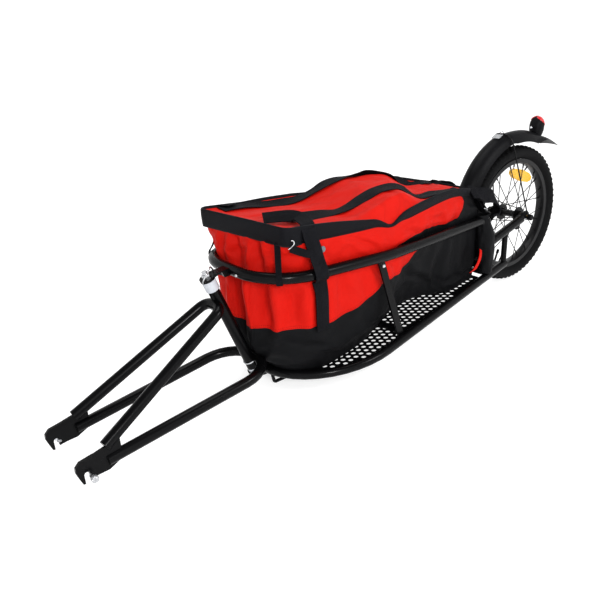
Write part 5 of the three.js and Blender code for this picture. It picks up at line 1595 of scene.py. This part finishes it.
class TRAILER_OT_rear_straps(bpy.types.Operator):
    """Makes the rear straps with their ladder buckles and metal rings, and the red rear tab"""

    bl_idname = "trailer.rear_straps"
    bl_label = "Rear straps"

    RUN = (
        (292, 49, 337, (0, 0, 1)), (272, 51, 337, (-0.2, 0, 1)), (254, 54, 325, (-0.8, 0, 0.6)),
        (236, 57, 300, (-0.9, 0.1, 0.4)), (218, 60, 276, (-0.8, 0.1, 0.6)), (200, 60, 256, (-0.8, 0.1, 0.6)),
        (190, 60, 238, (-0.95, 0.1, 0.2)),
    )
    FLAP = (
        (282, 76, 334, (-0.2, 0.6, 0.8)), (262, 80, 329, (-0.5, 0.6, 0.7)), (240, 82, 318, (-0.6, 0.7, 0.4)),
        (214, 82, 312, (-0.6, 0.7, 0.5)), (190, 80, 304, (-0.5, 0.8, 0.5)), (172, 78, 286, (-0.9, 0.5, 0)),
        (164, 76, 266, (-0.9, 0.5, -0.1)), (172, 74, 246, (-0.8, 0.5, -0.4)),
        (190, 76, 236, (-0.4, 0.8, -0.4)),
    )
    RED_TAB = ((252, 92, 172), (256, 96, 163), (262, 98, 150), (269, 97, 136), (277, 93, 122), (282, 84, 112))
    TAB_LOOK = (-0.3, 0.9, 0.1)
    WIDTH, FLAP_WIDTH, FLAP_THICKNESS, TAB_WIDTH = 0.026, 0.044, 0.004, 0.016

    def execute(self, context):
        for side, sign in SIDES:
            piece = strap(f"rear_strap_{side}", self.RUN, self.WIDTH, sign=sign)
            dressed(piece, "strap_webbing")
            buckle = self.buckle(f"ladder_buckle_{side}")
            placed(buckle, at(222, 59.5 * sign, 284), (0.74, 0, 0.67), (0, 1, 0))
            dressed(smooth(buckle, 35), "moulded_black")
            bar = self.bar(f"buckle_bar_{side}")
            placed(bar, at(208, 60 * sign, 270), (0, 1, 0))
            dressed(smooth(bar, 40), "zinc_plate")
            ring = self.ring(f"rear_ring_{side}")
            placed(ring, at(188, 60 * sign, 233), (0.95, 0, 0.25), (0, 1, 0))
            dressed(smooth(ring, 50), "zinc_plate")
            self.sleeve(side, sign)
            flap = strap(
                f"rear_flap_{side}", self.FLAP, self.FLAP_WIDTH, sign=sign, thickness=self.FLAP_THICKNESS
            )
            dressed(flap, "strap_webbing")
        tab = strap("rear_red_tab", [(*place, self.TAB_LOOK) for place in self.RED_TAB], self.TAB_WIDTH)
        dressed(tab, "lid_cloth")
        return {"FINISHED"}

    def sleeve(self, side, sign):
        """The bag's rear corner: black cloth gathered round the hoop's leg"""
        rows = []
        for k in range(29):
            share = k / 28
            up = mixed(96, 262, share)
            centre_ahead = mixed(214, 228, share) - 6 * math.sin(math.pi * share)
            centre_left = mixed(82, 74, share)
            swell = 0.55 + 0.45 * math.sin(math.pi * limited(0.08 + 0.86 * share)) ** 0.7
            row = []
            for turn in (math.tau * i / 40 for i in range(40)):
                along, across = math.cos(turn), math.sin(turn)
                crease = noise.noise(Vector((along * 1.3, across * 1.3, up / 38)))
                fine = noise.noise(Vector((along * 3.2, across * 3.2, up / 26 + 9)))
                reach = 24 * swell * (1 + 0.17 * crease + 0.08 * fine)
                left = centre_left + reach * 0.95 * across
                row.append(at(centre_ahead + reach * 1.15 * along, sign * left, up))
            rows.append(row)
        sleeve = grid(f"rear_sleeve_{side}", rows, closed=True)
        set_panel(sleeve, [-0.05] * len(sleeve.data.vertices), [0.0] * len(sleeve.data.vertices))
        dressed(cloth_shell(sleeve), "bag_cloth")

    def buckle(self, name):
        """A ladder buckle: a slab with two slots and a lifted lip"""
        clear_selection()
        bpy.ops.mesh.primitive_grid_add(x_subdivisions=5, y_subdivisions=5, size=0.034, location=(0, 0, 0))
        piece = named(name)
        edit_chosen(piece, self.in_a_slot)
        bpy.ops.mesh.delete(type="FACE")
        bpy.ops.mesh.select_all(action="SELECT")
        bpy.ops.transform.resize(value=(1, 0.8, 1))
        bpy.ops.mesh.select_all(action="DESELECT")
        edit = bmesh.from_edit_mesh(piece.data)
        for vertex in edit.verts:
            vertex.select = vertex.co.y > 0.013
        edit.select_flush_mode()
        bmesh.update_edit_mesh(piece.data)
        bpy.ops.transform.translate(value=(0, 0.001, 0.004))
        leave_edit()
        modified(piece, "SOLIDIFY", thickness=0.0034, offset=1)
        return bevelled(piece, 0.0009)

    @staticmethod
    def in_a_slot(face):
        place = face.calc_center_median()
        return abs(place.x) < 0.0125 and abs(abs(place.y) - 0.0068) < 0.002

    def bar(self, name):
        """The wire bar under the buckle"""
        clear_selection()
        bpy.ops.mesh.primitive_cylinder_add(vertices=14, radius=0.0021, depth=0.033, location=(0, 0, 0))
        return bevelled(named(name), 0.0009)

    def ring(self, name):
        """A D ring: a torus whose upper side is drawn flat"""
        clear_selection()
        bpy.ops.mesh.primitive_torus_add(
            major_radius=0.014, minor_radius=0.0018, major_segments=36, minor_segments=10, location=(0, 0, 0)
        )
        piece = named(name)
        flat = 0.006
        for vertex in piece.data.vertices:
            if vertex.co.y > flat:
                vertex.co.y = flat + (vertex.co.y - flat) * 0.35
        return piece


class TRAILER_OT_floor_sheet(bpy.types.Operator):
    """Makes the floor sheet with its fine staggered holes"""

    bl_idname = "trailer.floor_sheet"
    bl_label = "Floor sheet"

    REAR, INSET, THICKNESS = 229.5, 11.6, 2
    # The rows of holes run a little askew about a place ahead, and keep clear of the sheet's edge
    LEAN, LEAN_ABOUT, FIRST_HOLE, EDGE_GAP = math.radians(6), 580, 240, 3.5

    def execute(self, context):
        half = floor_half(self.REAR) - self.INSET
        edge = [(self.REAR, half)]
        for k in range(49):
            turn = NOSE_TURN * (1 - 2 * k / 48)
            ahead, left = nose_point(turn)
            normal = Vector((NOSE_HALF * math.cos(turn), NOSE_LENGTH * math.sin(turn))).normalized()
            edge.append((ahead - normal.x * self.INSET, left - normal.y * self.INSET))
        edge.append((self.REAR, -half))
        mesh = bpy.data.meshes.new("perforated_floor")
        points = [at(ahead, left, -self.THICKNESS / 2) for ahead, left in edge]
        mesh.from_pydata(points, [], [list(range(len(points)))])
        sheet = bpy.data.objects.new("perforated_floor", mesh)
        context.collection.objects.link(sheet)
        edit_all(sheet)
        bpy.ops.mesh.extrude_region_move(TRANSFORM_OT_translate={"value": (0, 0, self.THICKNESS / 1000)})
        facing_outwards()
        punch = self.punch()
        modified(sheet, "BOOLEAN", operation="DIFFERENCE", solver="MANIFOLD", object=punch)
        bpy.data.objects.remove(punch)
        for vertex in sheet.data.vertices:
            vertex.co.z += floor_height((AXLE.x - vertex.co.x) * 1000) / 1000
        dressed(smooth(sheet, 30), "floor_sheet_paint", replaces=("floor_sheet",))
        return {"FINISHED"}

    def punch(self):
        """One punch, copied to every hole"""
        radius, pitch = sizes().hole_radius, sizes().hole_pitch * 1000
        clear_selection()
        bpy.ops.mesh.primitive_cylinder_add(vertices=12, radius=radius, depth=0.012, location=(0, 0, 0))
        first = named("punch")
        margin = self.INSET + radius * 1000 + self.EDGE_GAP
        copies = []
        for j in range(-12, 13):
            for i in range(-2, 46):
                along = self.FIRST_HOLE + (i + (0.5 if j % 2 else 0)) * pitch - self.LEAN_ABOUT
                side = j * pitch * math.sqrt(3) / 2
                ahead = self.LEAN_ABOUT + along * math.cos(self.LEAN) - side * math.sin(self.LEAN)
                left = along * math.sin(self.LEAN) + side * math.cos(self.LEAN)
                past_nose = max(0, ahead - NOSE_AHEAD) / (NOSE_LENGTH - margin)
                nose = math.hypot(past_nose, left / (NOSE_HALF - margin))
                if ahead >= self.FIRST_HOLE and abs(left) <= floor_half(ahead) - margin and nose <= 1:
                    copies.append(copied(first, "punch_copy", Matrix.Translation(at(ahead, left, 0))))
        bpy.data.objects.remove(first)
        return joined("punches", copies)


class TRAILER_OT_tyre(bpy.types.Operator):
    """Makes the tyre: a spun casing with blocks on its crown and shoulders"""

    bl_idname = "trailer.tyre"
    bl_label = "Tyre"

    # Half of the casing: radius and half width in millimetres
    HALF = (
        (162.8, 11.6), (165.5, 13.2), (168, 16.4), (171.5, 19.6), (176, 21.9), (181, 22.7), (185.5, 22.2),
        (189.6, 20.2), (192.8, 16.6), (195.2, 11.8), (196.7, 6.2), (197.2, 0),
    )

    # Each kind of block: width, length, distance from the middle, radius of its foot and lean in degrees
    BLOCKS = {
        "crown_block": (0.0068, 0.0095, 0.0052, 0.1968, 10),
        "shoulder_block": (0.0088, 0.0068, 0.0158, 0.1934, 40),
    }
    SUNK = 0.0004

    def execute(self, context):
        profile = [*self.HALF, *[(radius, -side) for radius, side in reversed(self.HALF[:-1])]]
        mesh = bpy.data.meshes.new("tyre_casing")
        points = [(AXLE.x, side / 1000, AXLE.z + radius / 1000) for radius, side in profile]
        mesh.from_pydata(points, [(k, (k + 1) % len(points)) for k in range(len(points))], [])
        casing = bpy.data.objects.new("tyre_casing", mesh)
        context.collection.objects.link(casing)
        edit_all(casing)
        bpy.ops.mesh.spin(steps=108, angle=math.tau, center=AXLE, axis=(0, 1, 0))
        bpy.ops.mesh.select_all(action="SELECT")
        bpy.ops.mesh.remove_doubles(threshold=0.00005)
        facing_outwards()
        blocks = {name: self.block(name, *self.BLOCKS[name][:2]) for name in self.BLOCKS}
        count = sizes().tread_count
        copies = []
        for k in range(count):
            for side in (1, -1):
                for name, (_, _, across, radius, lean) in self.BLOCKS.items():
                    between = (name == "crown_block") == (side > 0)
                    turn = math.tau * (k + (0.5 if between else 0)) / count
                    copies.append(self.set_block(blocks[name], turn, across * side, radius, lean * side))
        for block in blocks.values():
            bpy.data.objects.remove(block)
        tread = joined("tyre_tread", [casing, *copies])
        dressed(smooth(tread, 38), "tyre_rubber", "wheel", replaces=("tyre",))
        return {"FINISHED"}

    def block(self, name, across, along):
        """A tread block with tapered sides and softened edges"""
        clear_selection()
        bpy.ops.mesh.primitive_cube_add(size=1, location=(0, 0, 0))
        piece = named(name)
        piece.data.transform(Matrix.Diagonal((along, across, sizes().tread_height * 1.7, 1)))
        edit_chosen(piece, looks_up)
        bpy.ops.transform.resize(value=(0.8, 0.82, 1))
        bpy.ops.mesh.bevel(offset=0.0006, segments=1, affect="EDGES")
        leave_edit()
        return piece

    def set_block(self, block, turn, across, radius, lean):
        """Stands a block on the casing"""
        up = Vector((math.sin(turn), 0, math.cos(turn)))
        tilt = math.radians(lean)
        out = up * math.cos(tilt) + Vector((0, math.sin(tilt), 0))
        place = AXLE + up * (radius - self.SUNK) + Vector((0, across, 0))
        along = Vector((math.cos(turn), 0, -math.sin(turn)))
        return copied(block, "tread_copy", Matrix.Translation(place) @ aimed(out, along).to_4x4())


class TRAILER_OT_wheel_fittings(bpy.types.Operator):
    """Makes the spoke nipples and the valve"""

    bl_idname = "trailer.wheel_fittings"
    bl_label = "Nipples and valve"

    SPOKES = 14  # on each side, as the part's source has them
    RIM_SEAT, RIM_SIDE, FLANGE_RADIUS, FLANGE_SIDE = 146.4, 4, 21, 28.5
    VALVE_TURN, VALVE_SEAT = math.radians(-64), 136

    def execute(self, context):
        first = self.nipple()
        copies = []
        for side in (1, -1):
            for k in range(self.SPOKES):
                turn = (k + (0.25 if side > 0 else 0.75)) * math.tau / self.SPOKES
                lead = (1 if k % 2 else -1) * 2 * math.tau / self.SPOKES
                end = self.spot(self.RIM_SEAT, turn, side * self.RIM_SIDE)
                head = self.spot(self.FLANGE_RADIUS, turn + lead, side * self.FLANGE_SIDE)
                along = (end - head).normalized()
                place = Matrix.Translation(end - along * 0.0045) @ aimed(along).to_4x4()
                copies.append(copied(first, "nipple_copy", place))
        bpy.data.objects.remove(first)
        dressed(smooth(joined("spoke_nipples", copies), 40), "black_wire", "wheel")
        valve = self.valve()
        seat = self.spot(self.VALVE_SEAT, self.VALVE_TURN)
        placed(valve, seat, (seat - self.spot(0, self.VALVE_TURN)).normalized())
        dressed(smooth(valve, 40), "moulded_black", "wheel")
        return {"FINISHED"}

    def nipple(self):
        """A spoke nipple with a stepped end"""
        clear_selection()
        bpy.ops.mesh.primitive_cylinder_add(vertices=8, radius=0.0021, depth=0.012, location=(0, 0, 0))
        piece = named("nipple")
        edit_chosen(piece, looks_down)
        bpy.ops.mesh.inset(thickness=0.0005)
        bpy.ops.transform.translate(value=(0, 0, -0.0008))
        leave_edit()
        return piece

    def valve(self):
        """The rubber valve: a stem with a wide root"""
        clear_selection()
        bpy.ops.mesh.primitive_cylinder_add(vertices=16, radius=0.0028, depth=0.026, location=(0, 0, 0))
        piece = named("tyre_valve")
        edit_chosen(piece, looks_down)
        drawn_out(((1.42, 0), (1, -0.011), (0.7, -0.001)))
        leave_edit()
        return piece

    @staticmethod
    def spot(radius, turn, left=0):
        return at(radius * math.cos(turn), left, WHEEL_UP + radius * math.sin(turn))


class TRAILER_OT_fasteners(bpy.types.Operator):
    """Makes the rivets, bolts, lamp screw and pivot clip"""

    bl_idname = "trailer.fasteners"
    bl_label = "Fasteners"

    # Each set's body, the node that it is seated on if its surface is curved, and for each head its place,
    # the way that it looks and its size
    SETS = {
        "hoop_rivets": ("frame", "upper_hoop", (
            (996.4, -32, 292, (1, 0, -0.4), 1), (996.4, 39, 295, (1, 0, -0.2), 1),
        )),
        "fork_rivets": ("fork", "fork_lower", ((1006, -94, 60, (0.1, -1, 0.1), 1.2),)),
        "guard_bolts": ("frame", None, ((56, 0, 445.5, (0.2, 0, 1), 1.5),)),
        "lamp_screw": ("frame", None, ((-82, 0, 439, (0.9, 0, 0.4), 1),)),
        "plate_bolts": ("frame", "guard_plate", (
            (246, 52, 103, (1, 0, 0.3), 1.3), (246, -52, 103, (1, 0, 0.3), 1.3),
        )),
    }
    # Over the pivot pin's top and down to the collar
    CLIP = ((1056, 3, 284), (1058, 9, 293), (1054, 13, 304), (1045, 11, 313), (1036, 3, 316), (1028, -6, 312),
            (1021, -10, 303), (1019, -6, 296))
    WIRE_RADIUS = 0.0017

    def execute(self, context):
        dome = self.dome()
        for name, (body, seat, heads) in self.SETS.items():
            copies = []
            for ahead, left, up, look, size in heads:
                place, direction = at(ahead, left, up), outer_face(look)
                if seat:
                    place, direction = surface_of(seat).find_nearest(place)[:2]
                turned = aimed(direction).to_4x4() @ Matrix.Scale(size, 4)
                copies.append(copied(dome, f"{name}_one", Matrix.Translation(place) @ turned))
            dressed(smooth(joined(name, copies), 50), "zinc_plate", body)
        bpy.data.objects.remove(dome)
        self.clip()
        return {"FINISHED"}

    def dome(self):
        """A low domed head with a flat rim"""
        clear_selection()
        bpy.ops.mesh.primitive_cylinder_add(vertices=16, radius=0.0036, depth=0.0012, location=(0, 0, 0))
        piece = named("dome")
        edit_chosen(piece, looks_up)
        drawn_out(((0.84, 0.0009), (0.66, 0.0006), (0.4, 0.0003)))
        leave_edit()
        return piece

    def clip(self):
        """A bent wire clip with closed ends"""
        run = curve_through([at(*place) for place in self.CLIP], 5)
        rows = []
        for k, point in enumerate(run):
            turned = aimed(heading(run, k))
            rows.append([point + turned @ Vector((math.cos(turn), math.sin(turn), 0)) * self.WIRE_RADIUS
                         for turn in (math.tau * i / 10 for i in range(10))])
        piece = grid("pivot_clip", rows, closed=True)
        edit_all(piece)
        bpy.ops.mesh.fill_holes(sides=10)
        facing_outwards()
        dressed(smooth(piece, 60), "zinc_plate")


class TRAILER_PT_panel(bpy.types.Panel):
    """Lists the operators with the sizes and colours that they use"""

    bl_idname = "TRAILER_PT_panel"
    bl_label = "Touring trailer"
    bl_space_type = "VIEW_3D"
    bl_region_type = "UI"
    bl_category = "Trailer"

    def draw(self, context):
        layout = self.layout
        for operator in OPERATORS:
            layout.operator(operator.bl_idname)
        for group in (context.scene.trailer_sizes, context.scene.trailer_colours):
            box = layout.box()
            for name in group.__annotations__:
                box.prop(group, name)


OPERATORS = (
    TRAILER_OT_stage, TRAILER_OT_finishes, TRAILER_OT_round_parts, TRAILER_OT_lamp, TRAILER_OT_bag,
    TRAILER_OT_lid, TRAILER_OT_rim_binding, TRAILER_OT_handles, TRAILER_OT_tie_straps,
    TRAILER_OT_corner_straps, TRAILER_OT_rear_straps, TRAILER_OT_floor_sheet, TRAILER_OT_tyre,
    TRAILER_OT_wheel_fittings, TRAILER_OT_fasteners,
)
CLASSES = (TrailerSizes, TrailerColours, *OPERATORS, TRAILER_PT_panel)


def register():
    for kind in CLASSES:
        bpy.utils.register_class(kind)
    bpy.types.Scene.trailer_sizes = PointerProperty(type=TrailerSizes)
    bpy.types.Scene.trailer_colours = PointerProperty(type=TrailerColours)


def unregister():
    del bpy.types.Scene.trailer_sizes
    del bpy.types.Scene.trailer_colours
    for kind in reversed(CLASSES):
        bpy.utils.unregister_class(kind)


def main():
    register()
    clear_selection()
    for operator in OPERATORS:
        group, name = operator.bl_idname.split(".")
        getattr(getattr(bpy.ops, group), name)()


if __name__ == "__main__":
    main()
